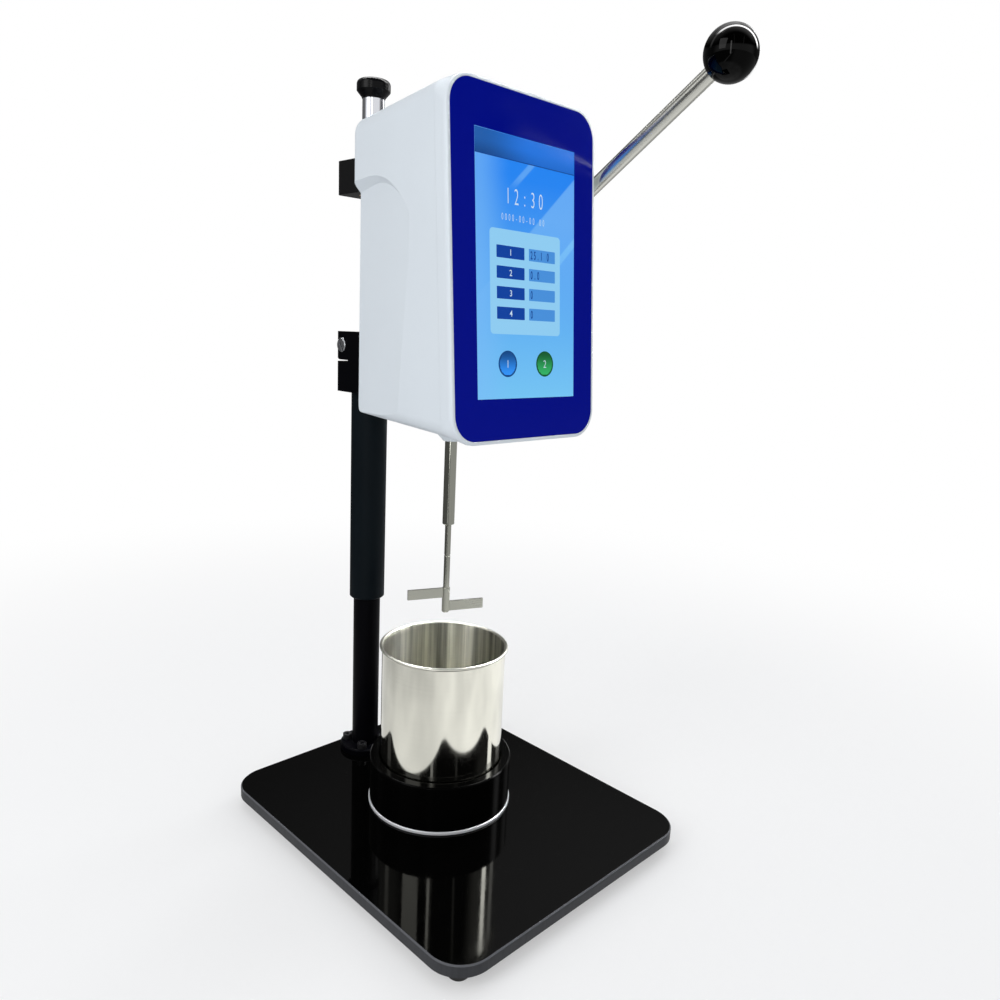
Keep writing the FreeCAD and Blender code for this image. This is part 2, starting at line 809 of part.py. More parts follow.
def front_frame():
    body = frame_body()
    half_w = panel_width / 2 + panel_gap
    half_l = panel_length / 2 + panel_gap
    pocket = rounded_plate(-half_w, half_w, -half_l, half_l, panel_corner_radius,
                           -panel_thickness, 2 * panel_thickness)
    half_w = module_width / 2 + module_gap
    half_l = module_length / 2 + module_gap
    window = block(-half_w, half_w, -half_l, half_l, -2 * frame_depth, 0)
    web_back = -panel_thickness - frame_web
    inset = shell_wall + frame_wall
    hollow = Part.makeLoft([joint_outline(inset, web_back), joint_outline(inset, -frame_depth - frame_web)],
                           True, True)
    body = body.cut([pocket, window, hollow])
    post_back = -panel_thickness - module_thickness
    posts = [cylinder(board_post_diameter, web_back - post_back, x, v, post_back) for x, v in spacer_places()]
    studs = [cylinder(m3_screw[0], board_stud_length, x, v, post_back) for x, v in spacer_places()]
    body = fuse([body] + posts).cut(studs)
    slab = block(-panel_length, panel_length, -panel_length, panel_length,
                 -frame_depth - lip_depth, -frame_depth)
    core = housing_loft(inset, inner_rear_width - 2 * frame_wall, inner_rear_y,
                        shell_rear_corner - shell_wall)
    lip = cavity().common(on_panel(slab)).cut(core)
    return [fuse([on_panel(body), lip]).cut(frame_screws())]


def front_panel():
    plate = rounded_plate(-panel_width / 2, panel_width / 2, -panel_length / 2, panel_length / 2,
                          panel_corner_radius - panel_gap, -panel_thickness, panel_thickness)
    half_w = screen_width / 2 + screen_gap
    half_l = screen_length / 2 + screen_gap
    window = block(-half_w, half_w, -half_l, half_l, -2 * panel_thickness, panel_thickness)
    return [on_panel(plate.cut(window))]


def display_screen():
    glass = block(-screen_width / 2, screen_width / 2, -screen_length / 2, screen_length / 2,
                  -panel_thickness, -screen_sink)
    module = block(-module_width / 2, module_width / 2, -module_length / 2, module_length / 2,
                   -panel_thickness - module_thickness, -panel_thickness)
    return [on_panel(fuse([glass, module]))]


def chip(x, v, width, length, back):
    return block(x - width / 2, x + width / 2, v - length / 2, v + length / 2, back - chip_thickness, back)


def display_board():
    front = -panel_thickness - module_thickness
    plate = block(-board_width / 2, board_width / 2, -board_length / 2, board_length / 2,
                  front - board_thickness, front)
    chips = [chip(-22, 20, 14, 14, front - board_thickness), chip(16, -28, 22, 9, front - board_thickness)]
    return [on_panel(fuse([plate] + chips).cut(board_holes(front)))]


def board_spacers():
    spacers = []
    for x, v in spacer_places():
        column = hexagon_prism(spacer_across_flats, main_board_spacing, x, v, main_board_front)
        stud = cylinder(m3_screw[0], board_thickness + board_stud_length, x, v, board_back)
        hole = cylinder(m3_screw[0], board_screw_bite, x, v, main_board_front)
        spacers.append(on_panel(fuse([column, stud]).cut(hole)))
    return spacers


def main_board():
    back = main_board_front - board_thickness
    plate = block(-main_board_width / 2, main_board_width / 2, -main_board_length / 2, main_board_length / 2,
                  back, main_board_front)
    parts = [chip(0, 30, 18, 18, back), chip(-24, -10, 12, 20, back), chip(26, -40, 9, 26, back)]
    return [on_panel(fuse([plate] + parts).cut(board_holes(main_board_front)))]


def board_screws():
    model = standing_screw(m3_screw, board_thickness + board_screw_bite, 0, 0, 0, False)
    model = turn_shape(model, Vector(0, 0, 0), AXIS_X, 180)
    screws = []
    for x, v in spacer_places():
        copy = model.copy()
        copy.translate(Vector(x, v, main_board_front - board_thickness))
        screws.append(on_panel(copy))
    return screws


# Head: chassis, slide blocks and sleeve

def boss_screws():
    length = shaft_housing_flange_thickness + shaft_screw_bite
    model = turn_shape(standing_screw(m3_screw, length, 0, 0, 0, False), Vector(0, 0, 0), AXIS_Y, 90)
    screws = []
    reach = (shaft_housing_diameter + shaft_housing_flange) / 4
    for angle in (90, 210, 330):
        turn = math.radians(angle)
        copy = model.copy()
        copy.translate(Vector(shaft_flange_x, pivot_y + reach * math.cos(turn),
                              pivot_z + reach * math.sin(turn)))
        screws.append(copy)
    return screws


def chassis():
    half = chassis_width / 2
    rear = block(-half, half, chassis_rear_front, inner_rear_y, chassis_bottom, chassis_top)
    shelf = block(-half, half, shelf_front_y, chassis_rear_front, shelf_z, shelf_top)
    outline = [(cheek_front_y, shelf_z), (chassis_rear_front, shelf_z),
               (chassis_rear_front, chassis_top - cheek_rear_drop),
               (pivot_y + cheek_shoulder, cheek_top), (cheek_front_y, cheek_top)]
    cheek = polygon_prism([(cheek_inner_x, y, z) for y, z in outline], Vector(chassis_plate, 0, 0))
    body = fuse([rear, shelf, cheek, mirrored(cheek)])
    bush_holes = cylinder(pivot_bush_diameter, chassis_width, -half, pivot_y, pivot_z, AXIS_X)
    bearing_hole = cylinder(bearing_housing_diameter, 3 * chassis_plate,
                            0, spindle_y, shelf_z - chassis_plate)
    return [body.cut([bush_holes, bearing_hole, gear_room()] + block_screw_holes() + boss_screws())]


def slide_bush(z, height):
    return tube(bush_diameter, rod_diameter + 2 * bush_running_gap, height, 0, column_y, z)


def upper_bush():
    return [slide_bush(upper_block_bottom, upper_block_height)]


def lower_bush():
    start = saw_slit_z + saw_slit_width / 2
    return [slide_bush(start, lower_block_bottom + lower_block_height - start)]


def block_body(bottom, height):
    body = block(-block_width / 2, block_width / 2, shell_rear_y, block_rear_y, bottom, bottom + height)
    upright = edges_where(body, lambda box: box.YMin > block_rear_y - 0.01 and box.ZLength > height - 0.01)
    return body.makeFillet(block_edge_radius, upright)


def upper_slide_block():
    body = block_body(upper_block_bottom, upper_block_height)
    bore = cylinder(bush_diameter, upper_block_height, 0, column_y, upper_block_bottom)
    return [body.cut([bore] + block_screw_holes())]


def clamp_screw():
    seat_x = -block_width / 2 + clamp_head_sink
    face_x = seat_x - clamp_head_height
    head = cylinder(clamp_head_diameter, clamp_head_height, face_x, clamp_screw_y, clamp_screw_z, AXIS_X)
    length = block_width - clamp_head_sink - clamp_screw_stop
    shank = cylinder(m4_socket_screw[0], length, seat_x, clamp_screw_y, clamp_screw_z, AXIS_X)
    slot = block(face_x - clamp_slot_depth, face_x + clamp_slot_depth,
                 clamp_screw_y - clamp_head_diameter, clamp_screw_y + clamp_head_diameter,
                 clamp_screw_z - clamp_slot_width / 2, clamp_screw_z + clamp_slot_width / 2)
    slot = turn_shape(slot, Vector(0, clamp_screw_y, clamp_screw_z), AXIS_X, clamp_slot_turn)
    head_rim = edges_where(head, lambda box: box.XMax < face_x + 0.01)
    head = head.makeChamfer(clamp_head_bevel, head_rim)
    return [fuse([head, shank]).cut(slot)]


def lower_slide_block():
    top = lower_block_bottom + lower_block_height
    body = block_body(lower_block_bottom, lower_block_height)
    slit_top = saw_slit_z + saw_slit_width / 2
    behind = block_rear_y + pinch_corner_radius
    saw = block(-block_width, block_width, saw_slit_front_y, behind,
                saw_slit_z - saw_slit_width / 2, slit_top)
    ear_y = block_rear_y - pinch_corner_radius
    ear_z = slit_top + pinch_corner_radius
    ear = block(-block_width, block_width, ear_y, behind, slit_top, ear_z)
    ear = ear.cut(cylinder(2 * pinch_corner_radius, 2 * block_width, -block_width, ear_y, ear_z, AXIS_X))
    pinch = block(-pinch_slit_width / 2, pinch_slit_width / 2, column_y, behind, slit_top, top)
    bush_bore = cylinder(bush_diameter, top - slit_top, 0, column_y, slit_top)
    waist = cylinder(rod_diameter + 2 * lower_block_bore_gap, lower_block_height, 0, column_y,
                     lower_block_bottom)
    seat = cylinder(sleeve_diameter, sleeve_seat_depth, 0, column_y, lower_block_bottom)
    head_pocket = cylinder(clamp_head_diameter, clamp_head_sink, -block_width / 2, clamp_screw_y,
                           clamp_screw_z, AXIS_X)
    return [body.cut([saw, ear, pinch, bush_bore, waist, seat, head_pocket, gear_room()] + clamp_screw()
                     + block_screw_holes())]


def column_sleeve():
    inner = tube_diameter / 2 + sleeve_gap
    outer = sleeve_diameter / 2
    top = lower_block_bottom + sleeve_seat_depth
    return [turned([(inner, sleeve_bottom), (outer - sleeve_bevel, sleeve_bottom),
                    (outer, sleeve_bottom + sleeve_bevel), (outer, top), (inner, top)], 0, column_y)]


def shaft_housing():
    bore = pivot_bush_diameter / 2
    flange = shaft_housing_flange / 2
    outer = shaft_housing_diameter / 2
    bevel = shaft_housing_bevel
    body = turned_about_x([(cheek_outer_x, bore), (cheek_outer_x, flange), (shaft_flange_x, flange),
                           (shaft_flange_x, outer), (shaft_housing_end_x - bevel, outer),
                           (shaft_housing_end_x, outer - bevel), (shaft_housing_end_x, bore)],
                          pivot_y, pivot_z)
    return [body.cut(boss_screws())]


def pivot_bushes():
    inner = pivot_diameter + 2 * pivot_running_gap
    starts = [(-cheek_outer_x, chassis_plate), (cheek_inner_x, chassis_plate + pivot_bush_length),
              (shaft_housing_end_x - pivot_bush_length, pivot_bush_length)]
    return [tube(pivot_bush_diameter, inner, length, x, pivot_y, pivot_z, AXIS_X) for x, length in starts]


# Lever

def gear_outline_points():
    """Tooth outline of the sector, from its lowest tooth round to its highest."""
    pitch_angle = 2 * math.pi / gear_teeth
    pressure = math.radians(pressure_angle)
    half_at_pitch = (rack_pitch / 2 - gear_backlash / 2) / 2 / gear_pitch_radius
    involute_at_pitch = math.tan(pressure) - pressure

    def half_angle(radius):
        turn = math.acos(gear_base_radius / radius)
        return half_at_pitch + involute_at_pitch - (math.tan(turn) - turn)

    radii = [gear_root_radius + (gear_tip_radius - gear_root_radius) * step / gear_flank_steps
             for step in range(gear_flank_steps + 1)]
    points = []
    for tooth in range(-gear_teeth_behind, gear_teeth_ahead + 1):
        middle = tooth * pitch_angle
        points += [(radius, middle - half_angle(radius)) for radius in radii]
        points += [(radius, middle + half_angle(radius)) for radius in reversed(radii)]
    return points


def sector_gear():
    side_x = -gear_face_width / 2
    points = [(side_x, pivot_y + radius * math.cos(angle), pivot_z + radius * math.sin(angle))
              for radius, angle in gear_outline_points()]
    points.append((side_x, pivot_y, pivot_z))
    sector = polygon_prism(points, Vector(gear_face_width, 0, 0))
    hub = cylinder(gear_hub_diameter, gear_hub_width, -gear_hub_width / 2, pivot_y, pivot_z, AXIS_X)
    body = fuse([sector, hub])
    shaft = cylinder(pivot_diameter, 2 * gear_hub_width, -gear_hub_width, pivot_y, pivot_z, AXIS_X)
    hole_radius = (gear_root_radius - gear_rim_depth + gear_hub_diameter / 2) / 2
    span = 360.0 / gear_teeth * (gear_teeth_ahead + gear_teeth_behind)
    middle = 360.0 / gear_teeth * (gear_teeth_ahead - gear_teeth_behind) / 2
    holes = []
    for place in (-gear_hole_spread, 0.0, gear_hole_spread):
        turn = math.radians(middle + place * span)
        holes.append(cylinder(gear_hole_diameter, 2 * gear_face_width, -gear_face_width,
                              pivot_y + hole_radius * math.cos(turn), pivot_z + hole_radius * math.sin(turn),
                              AXIS_X))
    return [body.cut([shaft] + holes + gear_pin())]


def gear_pin():
    pin_x = gear_face_width / 2 + gear_pin_inset
    return [cylinder(gear_pin_diameter, gear_hub_diameter, pin_x, pivot_y, pivot_z - gear_hub_diameter / 2)]


def pivot_shaft():
    end_x = lever_x + lever_hub_width / 2 - lever_hub_cap
    shaft = cylinder(pivot_diameter, end_x + pivot_left_end, -pivot_left_end, pivot_y, pivot_z, AXIS_X)
    return [shaft.cut([ring_around_shaft()] + gear_pin())]


def ring_around_shaft():
    inner = pivot_diameter - 2 * ring_groove_depth
    return tube(inner + 2 * retaining_ring_width, inner, ring_groove_width,
                -pivot_left_end + ring_groove_inset, pivot_y, pivot_z, AXIS_X)


def retaining_ring():
    mouth = block(-pivot_left_end, 0, pivot_y - retaining_ring_mouth / 2, pivot_y + retaining_ring_mouth / 2,
                  pivot_z - pivot_diameter, pivot_z)
    return [ring_around_shaft().cut(mouth)]


def thrust_washer():
    start = lever_x - lever_hub_width / 2 - thrust_washer_thickness - thrust_washer_play / 2
    bore = pivot_diameter + 2 * thrust_washer_play
    return [tube(shaft_housing_diameter, bore, thrust_washer_thickness, start, pivot_y, pivot_z, AXIS_X)]


def along_lever(shape):
    """Turns a shape made along +Z from the origin into the lever's direction at the pivot."""
    copy = turn_shape(shape, Vector(0, 0, 0), AXIS_X, 90 - lever_angle)
    copy.translate(Vector(lever_x, pivot_y, pivot_z))
    return copy


def lever_rod():
    start = pivot_diameter / 2 + lever_rod_seat_gap
    stop = lever_length - ball_bore_end
    return [along_lever(cylinder(lever_rod_diameter, stop - start, 0, 0, start))]


def hub_screw():
    length = lever_hub_diameter / 2 - pivot_diameter / 2 - hub_screw_sink
    face = -pivot_diameter / 2 - length
    body = cylinder(hub_screw_diameter, length, 0, 0, face)
    drive = hexagon_prism(hub_screw_drive, hub_screw_drive, 0, 0, face)
    return [along_lever(body.cut(drive))]


def lever_hub():
    x0 = lever_x - lever_hub_width / 2
    x1 = lever_x + lever_hub_width / 2
    outer = lever_hub_diameter / 2
    bevel = lever_hub_bevel
    body = turned_about_x([(x0, 0), (x0, outer - bevel), (x0 + bevel, outer), (x1 - bevel, outer),
                           (x1, outer - bevel), (x1, 0)], pivot_y, pivot_z)
    screw_hole = along_lever(cylinder(hub_screw_diameter, lever_hub_diameter, 0, 0, -lever_hub_diameter))
    return [body.cut(pivot_shaft() + lever_rod() + [screw_hole])]


def ball_knob():
    ball = Part.makeSphere(ball_diameter / 2, Vector(0, 0, lever_length), AXIS_Z)
    return [along_lever(ball).cut(lever_rod())]


# Drive and spindle

def drive_motor():
    half = motor_plate_width / 2
    low = motor_plate_z + motor_plate_thickness
    plate = block(-half, half, spindle_y - motor_plate_depth / 2, spindle_y + motor_plate_depth / 2,
                  motor_plate_z, low)
    radius = motor_diameter / 2
    tail = radius - motor_tail_step
    top = low + motor_length
    step = top - motor_tail_length
    body = turned([(0, low), (radius, low), (radius, step), (tail, step), (tail, top - motor_tail_bevel),
                   (tail - motor_tail_bevel, top), (0, top)], 0, spindle_y)
    shaft_hole = cylinder(motor_shaft_diameter + 2 * motor_shaft_gap, motor_shaft_bore,
                          0, spindle_y, motor_plate_z)
    return [fuse([plate, body]).cut([shaft_hole] + motor_screws())]


def motor_screws():
    reach = motor_plate_width / 2 - motor_screw_inset
    seat = motor_plate_z + motor_plate_thickness
    return [standing_screw(m3_screw, motor_screw_length, side * reach, spindle_y, seat, False)
            for side in (-1, 1)]


def bearing_housing():
    outer = bearing_housing_diameter / 2
    cup_outer = bearing_cup_diameter / 2
    cup_inner = cup_outer - bearing_cup_wall
    flange = bearing_flange_diameter / 2
    flange_top = shelf_top + bearing_flange_thickness
    bore = spindle_diameter / 2 + bearing_shoulder
    seat = bearing_outer_diameter / 2
    low, high = bearing_seats()
    rim = high + bearing_width
    body = turned([(seat, low), (outer, low), (outer, shelf_top), (flange, shelf_top), (flange, flange_top),
                   (cup_outer, flange_top), (cup_outer, motor_plate_z), (cup_inner, motor_plate_z),
                   (cup_inner, rim), (seat, rim), (seat, high), (bore, high),
                   (bore, low + bearing_width), (seat, low + bearing_width)], 0, spindle_y)
    half = motor_plate_width / 2
    lug_bottom = motor_plate_z - bearing_lug_thickness
    lug = block(-half, half, spindle_y - motor_plate_depth / 2, spindle_y + motor_plate_depth / 2,
                lug_bottom, motor_plate_z)
    lug = lug.cut(cylinder(2 * cup_inner, bearing_lug_thickness, 0, spindle_y, lug_bottom))
    return [fuse([body, lug]).cut(motor_screws())]


def bearing_seats():
    """Undersides of the two spindle bearings."""
    return shell_bottom + nose_ring_spigot, shelf_top + bearing_seat_rise - bearing_width


def spindle_bearings():
    inner = spindle_diameter + 2 * spindle_running_gap
    return [tube(bearing_outer_diameter, inner, bearing_width, 0, spindle_y, z) for z in bearing_seats()]


def nose_ring():
    bore = spindle_diameter / 2 + nose_ring_gap
    outer = nose_ring_diameter / 2
    spigot = bearing_housing_diameter / 2
    low = shell_bottom - nose_ring_height
    top = shell_bottom + nose_ring_spigot
    return [turned([(bore, low), (bore + nose_ring_tip, low), (outer, shell_bottom - nose_ring_rim),
                    (outer, shell_bottom), (spigot, shell_bottom), (spigot, top), (bore, top)],
                   0, spindle_y)]


def drive_spindle():
    radius = spindle_diameter / 2
    body = turned([(0, spindle_bottom), (radius - spindle_bevel, spindle_bottom),
                   (radius, spindle_bottom + spindle_bevel), (radius, spindle_top), (0, spindle_top)],
                  0, spindle_y)
    screw_hole = cylinder(chuck_screw_diameter, spindle_diameter, 0, spindle_y, chuck_screw_z, AXIS_X)
    return [body.cut(paddle_shaft() + [screw_hole])]


def chuck_screw():
    start = paddle_shaft_diameter / 2 + chuck_screw_gap
    length = spindle_diameter / 2 - start - chuck_screw_sink
    return [cylinder(chuck_screw_diameter, length, start, spindle_y, chuck_screw_z, AXIS_X)]


def shaft_coupling():
    body = cylinder(coupling_diameter, coupling_length, 0, spindle_y, coupling_bottom)
    spindle = cylinder(spindle_diameter, spindle_top - spindle_bottom, 0, spindle_y, spindle_bottom)
    return [body.cut([spindle] + motor_shaft())]


def motor_shaft():
    return [cylinder(motor_shaft_diameter, motor_shaft_drop + motor_shaft_inside, 0, spindle_y,
                     motor_plate_z - motor_shaft_drop)]


def paddle_shaft():
    radius = paddle_shaft_diameter / 2
    low = paddle_bottom
    top = spindle_bottom + paddle_shaft_inset
    groove = radius - mark_depth
    mark_low = mark_z - mark_width / 2
    mark_high = mark_z + mark_width / 2
    return [turned([(0, low), (radius, low), (radius, mark_low), (groove, mark_low), (groove, mark_high),
                    (radius, mark_high), (radius, top), (0, top)], 0, spindle_y)]


def paddle_blades():
    half = paddle_blade_thickness / 2
    reach = paddle_span / 2
    low = block(0, reach, -half, half, paddle_low_z, paddle_low_z + paddle_blade_height)
    high = block(-reach, 0, -half, half, paddle_high_z, paddle_top)
    sleeve = cylinder(paddle_shaft_diameter + 2 * paddle_sleeve_wall, paddle_top - paddle_low_z,
                      0, 0, paddle_low_z)
    blades = fuse([low, high, sleeve])
    blades.rotate(Vector(0, 0, 0), AXIS_Z, paddle_turn)
    blades.translate(Vector(0, spindle_y, 0))
    return [blades.cut(paddle_shaft())]


# Power inlet and switch

def switch_body():
    half_w = switch_bezel_width / 2
    half_l = switch_bezel_length / 2
    low = switch_z - switch_bezel_height
    bezel = rounded_plate(switch_x - half_w, switch_x + half_w, service_y - half_l, service_y + half_l,
                          switch_corner_radius, low, switch_bezel_height)
    half_w -= switch_lip
    half_l -= switch_lip
    box = block(switch_x - half_w, switch_x + half_w, service_y - half_l, service_y + half_l,
                switch_z, switch_z + switch_depth)
    half_w = rocker_width / 2 + rocker_gap
    half_l = rocker_radius + rocker_gap
    room = block(switch_x - half_w, switch_x + half_w, service_y - half_l, service_y + half_l,
                 low, rocker_z + rocker_radius + rocker_rise)
    reach = rocker_width / 2 + rocker_pin_reach + rocker_gap
    pin = cylinder(rocker_pin_diameter + 2 * rocker_pin_gap, 2 * reach, switch_x - reach, service_y, rocker_z,
                   AXIS_X)
    return [fuse([bezel, box]).cut([room, pin])]


def switch_terminals():
    top = switch_z + switch_depth
    half = terminal_width / 2
    blades = []
    for end in (-1, 1):
        middle = service_y + end * terminal_spacing / 2
        blades.append(block(switch_x - half, switch_x + half, middle - terminal_thickness / 2,
                            middle + terminal_thickness / 2, top, top + terminal_length))
    return blades


def power_rocker():
    centre = Vector(switch_x, service_y, rocker_z)
    body = cylinder(2 * rocker_radius, rocker_width, switch_x - rocker_width / 2, service_y, rocker_z, AXIS_X)
    far = 2 * rocker_radius
    below = block(switch_x - far, switch_x + far, service_y - far, service_y + far,
                  rocker_z - far, rocker_z - rocker_facet)
    body = body.cut([turn_shape(below, centre, AXIS_X, side * rocker_throw / 2) for side in (-1, 1)])
    reach = rocker_width / 2 + rocker_pin_reach
    pin = cylinder(rocker_pin_diameter, 2 * reach, switch_x - reach, service_y, rocker_z, AXIS_X)
    return [turn_shape(fuse([body, pin]), centre, AXIS_X, -rocker_throw / 2)]


def dc_inlet():
    low = switch_z - switch_bezel_height
    body = cylinder(inlet_diameter, inlet_length + switch_bezel_height, inlet_x, service_y, low)
    half = inlet_box_width / 2
    box = block(inlet_x - half, inlet_x + half, service_y - half, service_y + half,
                switch_z + shell_wall, switch_z + inlet_length)
    bore = cylinder(inlet_bore_diameter, inlet_bore_depth, inlet_x, service_y, low)
    return [fuse([body, box]).cut([bore] + inlet_pin())]


def inlet_pin():
    low = switch_z - switch_bezel_height + inlet_pin_sink
    return [cylinder(inlet_pin_diameter, inlet_bore_depth + inlet_pin_root, inlet_x, service_y, low)]


def inlet_nut():
    low = switch_z - switch_bezel_height
    nut = hexagon_prism(inlet_nut_across_flats, switch_bezel_height, inlet_x, service_y, low)
    return [nut.cut(cylinder(inlet_diameter, switch_bezel_height, inlet_x, service_y, low))]


STAND = [base_plate, rubber_feet, foot_screws, column_flange, flange_screws, column_bolt, column_tube,
         guide_rod, rod_cap, locating_ring, cup_holder, holder_screws, sample_cup]
HEAD = [housing_shell, front_frame, frame_screws, front_panel, display_screen, display_board, board_spacers,
        main_board, board_screws, chassis, block_screws, upper_slide_block, upper_bush, lower_slide_block,
        lower_bush, clamp_screw, column_sleeve, shaft_housing, boss_screws, pivot_bushes, drive_motor,
        motor_screws, bearing_housing, spindle_bearings, nose_ring, switch_body, switch_terminals, dc_inlet,
        inlet_pin, inlet_nut, power_rocker]
LEVER = [pivot_shaft, retaining_ring, sector_gear, gear_pin, thrust_washer, lever_hub, hub_screw, lever_rod,
         ball_knob]
SPINDLE = [drive_spindle, chuck_screw, shaft_coupling, motor_shaft, paddle_shaft, paddle_blades]


def main():
    os.makedirs("parts", exist_ok=True)
    solids = {}
    for make in STAND + HEAD + LEVER + SPINDLE:
        solids[make.__name__] = make()
    front = min(solid.BoundBox.YMin for group in solids.values() for solid in group)
    rear = max(solid.BoundBox.YMax for group in solids.values() for solid in group)
    to_origin = Vector(0, -(front + rear) / 2, 0)
    for name, group in solids.items():
        whole = group[0] if len(group) == 1 else Part.makeCompound(group)
        whole.translate(to_origin)
        whole.exportStep("parts/" + name + ".step")
    print("shift", round(to_origin.y, 4), "nodes", len(solids))


main()
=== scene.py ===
import math

import bpy
from bpy.props import FloatProperty, FloatVectorProperty, PointerProperty
from bpy.types import Operator, Panel, PropertyGroup
from mathutils import Matrix, Vector


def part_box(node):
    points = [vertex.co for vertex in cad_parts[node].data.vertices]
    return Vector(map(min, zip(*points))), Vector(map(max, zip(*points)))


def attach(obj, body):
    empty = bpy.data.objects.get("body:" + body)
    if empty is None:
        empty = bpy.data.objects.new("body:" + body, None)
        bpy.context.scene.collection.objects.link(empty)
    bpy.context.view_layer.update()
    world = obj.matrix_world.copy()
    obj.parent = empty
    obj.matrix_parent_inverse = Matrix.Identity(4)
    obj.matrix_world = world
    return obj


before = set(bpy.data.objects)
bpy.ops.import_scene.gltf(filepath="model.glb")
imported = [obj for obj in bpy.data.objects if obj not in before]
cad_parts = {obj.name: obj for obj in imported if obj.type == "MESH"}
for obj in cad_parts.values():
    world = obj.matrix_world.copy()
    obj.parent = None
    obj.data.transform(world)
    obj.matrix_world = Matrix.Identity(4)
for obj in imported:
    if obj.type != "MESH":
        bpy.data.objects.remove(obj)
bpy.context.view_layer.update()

bl_info = {
    "name": "Paint Viscometer",
    "version": (1, 0, 0),
    "blender": (4, 5, 0),
    "location": "View3D > Sidebar > Viscometer",
    "description": "Dresses the bench viscometer: lit display, finishes, studio",
    "category": "Object",
}

MM = 0.001
BLACK = (0.0, 0.0, 0.0)
WHITE = (1.0, 1.0, 1.0, 1.0)

# Front panel, display and cup: lengths in millimetres, the lean in radians
PANEL_LEAN = math.radians(4.57)
PANEL_THICKNESS = 2.0
SCREEN_WIDTH = 81.4
SCREEN_HEIGHT = 144.6
SCREEN_SINK = 0.2
SCREEN_MARGIN = 0.2
TITLE_LINE = 0.5
TITLE_LINE_DROP = 0.1
BOX_CORNER = 0.4
CUP_MIDDLE_RADIUS = 42.1
CUP_SOFTNESS = 0.2
CUP_RIM_START = 3.0
CUP_RIM_FULL = 2.0

# Layers and places on the display, in metres, the places counted from its middle
SCREEN_FACE = -SCREEN_SINK * MM
LAYER = 0.03 * MM
CLOCK_PLACE = (-2.2 * MM, 40.0 * MM)
DATE_PLACE = (-3.4 * MM, 28.4 * MM)
CARD_PLACE = (-1.2 * MM, -7.2 * MM)
FIRST_ROW_UP = 9.4 * MM
LABEL_ACROSS = -13.9 * MM
READING_ACROSS = 12.2 * MM
READING_START = 3.2 * MM
KEYS_UP = -52.6 * MM
BLUE_KEY_ACROSS = -16.8 * MM
GREEN_KEY_ACROSS = 14.4 * MM

# Figures: a nought's size in type one unit high, and how far an outline moves out for a bolder stroke
FIGURE_WIDTH = 0.53
FIGURE_HEIGHT = 0.70
THIN_STROKE = -0.012
LABEL_STROKE = 0.006
READING_STROKE = 0.012

# Shares: a figure's width in its height and its height in its box, a round key's parts and tones
SIGN_WIDTH = 0.7
CLOCK_WIDTH = 0.46
DATE_WIDTH = 0.44
READING_WIDTH = 0.42
READING_PITCH = 0.62
LABEL_HEIGHT = 0.5
READING_HEIGHT = 0.66
KEY_SIGN_HEIGHT = 0.3
KEY_RIM = 0.13
KEY_STEP = 0.03
KEY_DARK = 0.4
KEY_LIGHT = 1.9

# Colours of the title bar at its left, at its right and along its lower edge
TITLE_LEFT = (30, 92, 170)
TITLE_RIGHT = (32, 116, 222)
TITLE_EDGE = (18, 60, 118)

# Rounded edges that only the light shows, and depths of fine relief, in metres
FINE_EDGE = 0.0002
SOFT_EDGE = 0.0004
PAINT_EDGE = 0.0005
SHELL_EDGE = 0.0006
GRAIN_DEPTH = 0.00004
LINE_DEPTH = 0.00003
RING_DEPTH = 0.00002
PEEL_DEPTH = 0.0002

# Directions in the room, and how bright its lit arch is where it is brightest
TO_CAMERA = (-0.69, -0.70, -0.16)
TO_RIGHT = (0.71, -0.70, 0.0)
ARCH_GLARE = 30.0

# Camera in millimetres, and its azimuth, elevation and roll in degrees
CAMERA_PLACE = (-353.9, -380.09, 345.9)
CAMERA_ANGLES = (-44.96, 11.91, 2.71)
CAMERA_LENS = 29.559
CAMERA_SENSOR = 36.0

# Lamps, each with its name, place, width and height, and the floor, in metres
LAMPS = (
    ("key", (-1.6, 0.1, 1.2), 0.9, 1.2),
    ("strip", (-1.26, -0.82, 0.6), 0.12, 1.4),
    ("fill", (1.6, 0.2, 0.9), 0.5, 1.2),
    ("top", (0.2, 0.3, 1.7), 1.2, 0.8),
)
LAMP_TARGET = (0.0, 0.0, 0.26)
FLOOR_DROP = 0.0002


def paint(red, green, blue):
    """Linear colour of a paint given as 0 to 255 display values."""
    channels = []
    for value in (red, green, blue):
        value /= 255
        channels.append(value / 12.92 if value <= 0.04045 else ((value + 0.055) / 1.055) ** 2.4)
    return tuple(channels)


def colour(name, description, value):
    return FloatVectorProperty(name=name, description=description, default=paint(*value), size=3,
                               min=0.0, max=1.0, subtype="COLOR")


def length(name, description, value):
    return FloatProperty(name=name, description=description, default=value * MM, min=0.0,
                         unit="LENGTH", subtype="DISTANCE", precision=5)


def power(name, description, value):
    return FloatProperty(name=name, description=description, default=value, min=0.0, unit="POWER")


class ViscometerFinish(PropertyGroup):
    shell: colour("Housing", "White of the moulded housing", (217, 225, 232))
    overlay: colour("Front panel", "Deep blue of the front panel", (0, 14, 142))
    black: colour("Anodised black", "Black of the lower block, flange and tube", (3, 3, 6))
    block: colour("Block black", "Black of the upper block", (16, 16, 17))
    sleeve: colour("Sleeve black", "Blue-black of the long sleeve", (7, 15, 20))
    plate: colour("Plate black", "Black of the base plate's gloss top", (3, 3, 3))
    plate_side: colour("Plate sides", "Grey of the base plate's sawn sides", (58, 59, 62))
    steel: colour("Steel", "Colour of the polished steel of the cup", (244, 243, 231))
    spindle: colour("Spindle steel", "Colour of the steel of the spindle and paddle", (196, 197, 186))
    grain: FloatProperty(name="Grain", description="Depth of the fine grain in the plastics and paints",
                         default=0.06, min=0.0, max=1.0, subtype="FACTOR")


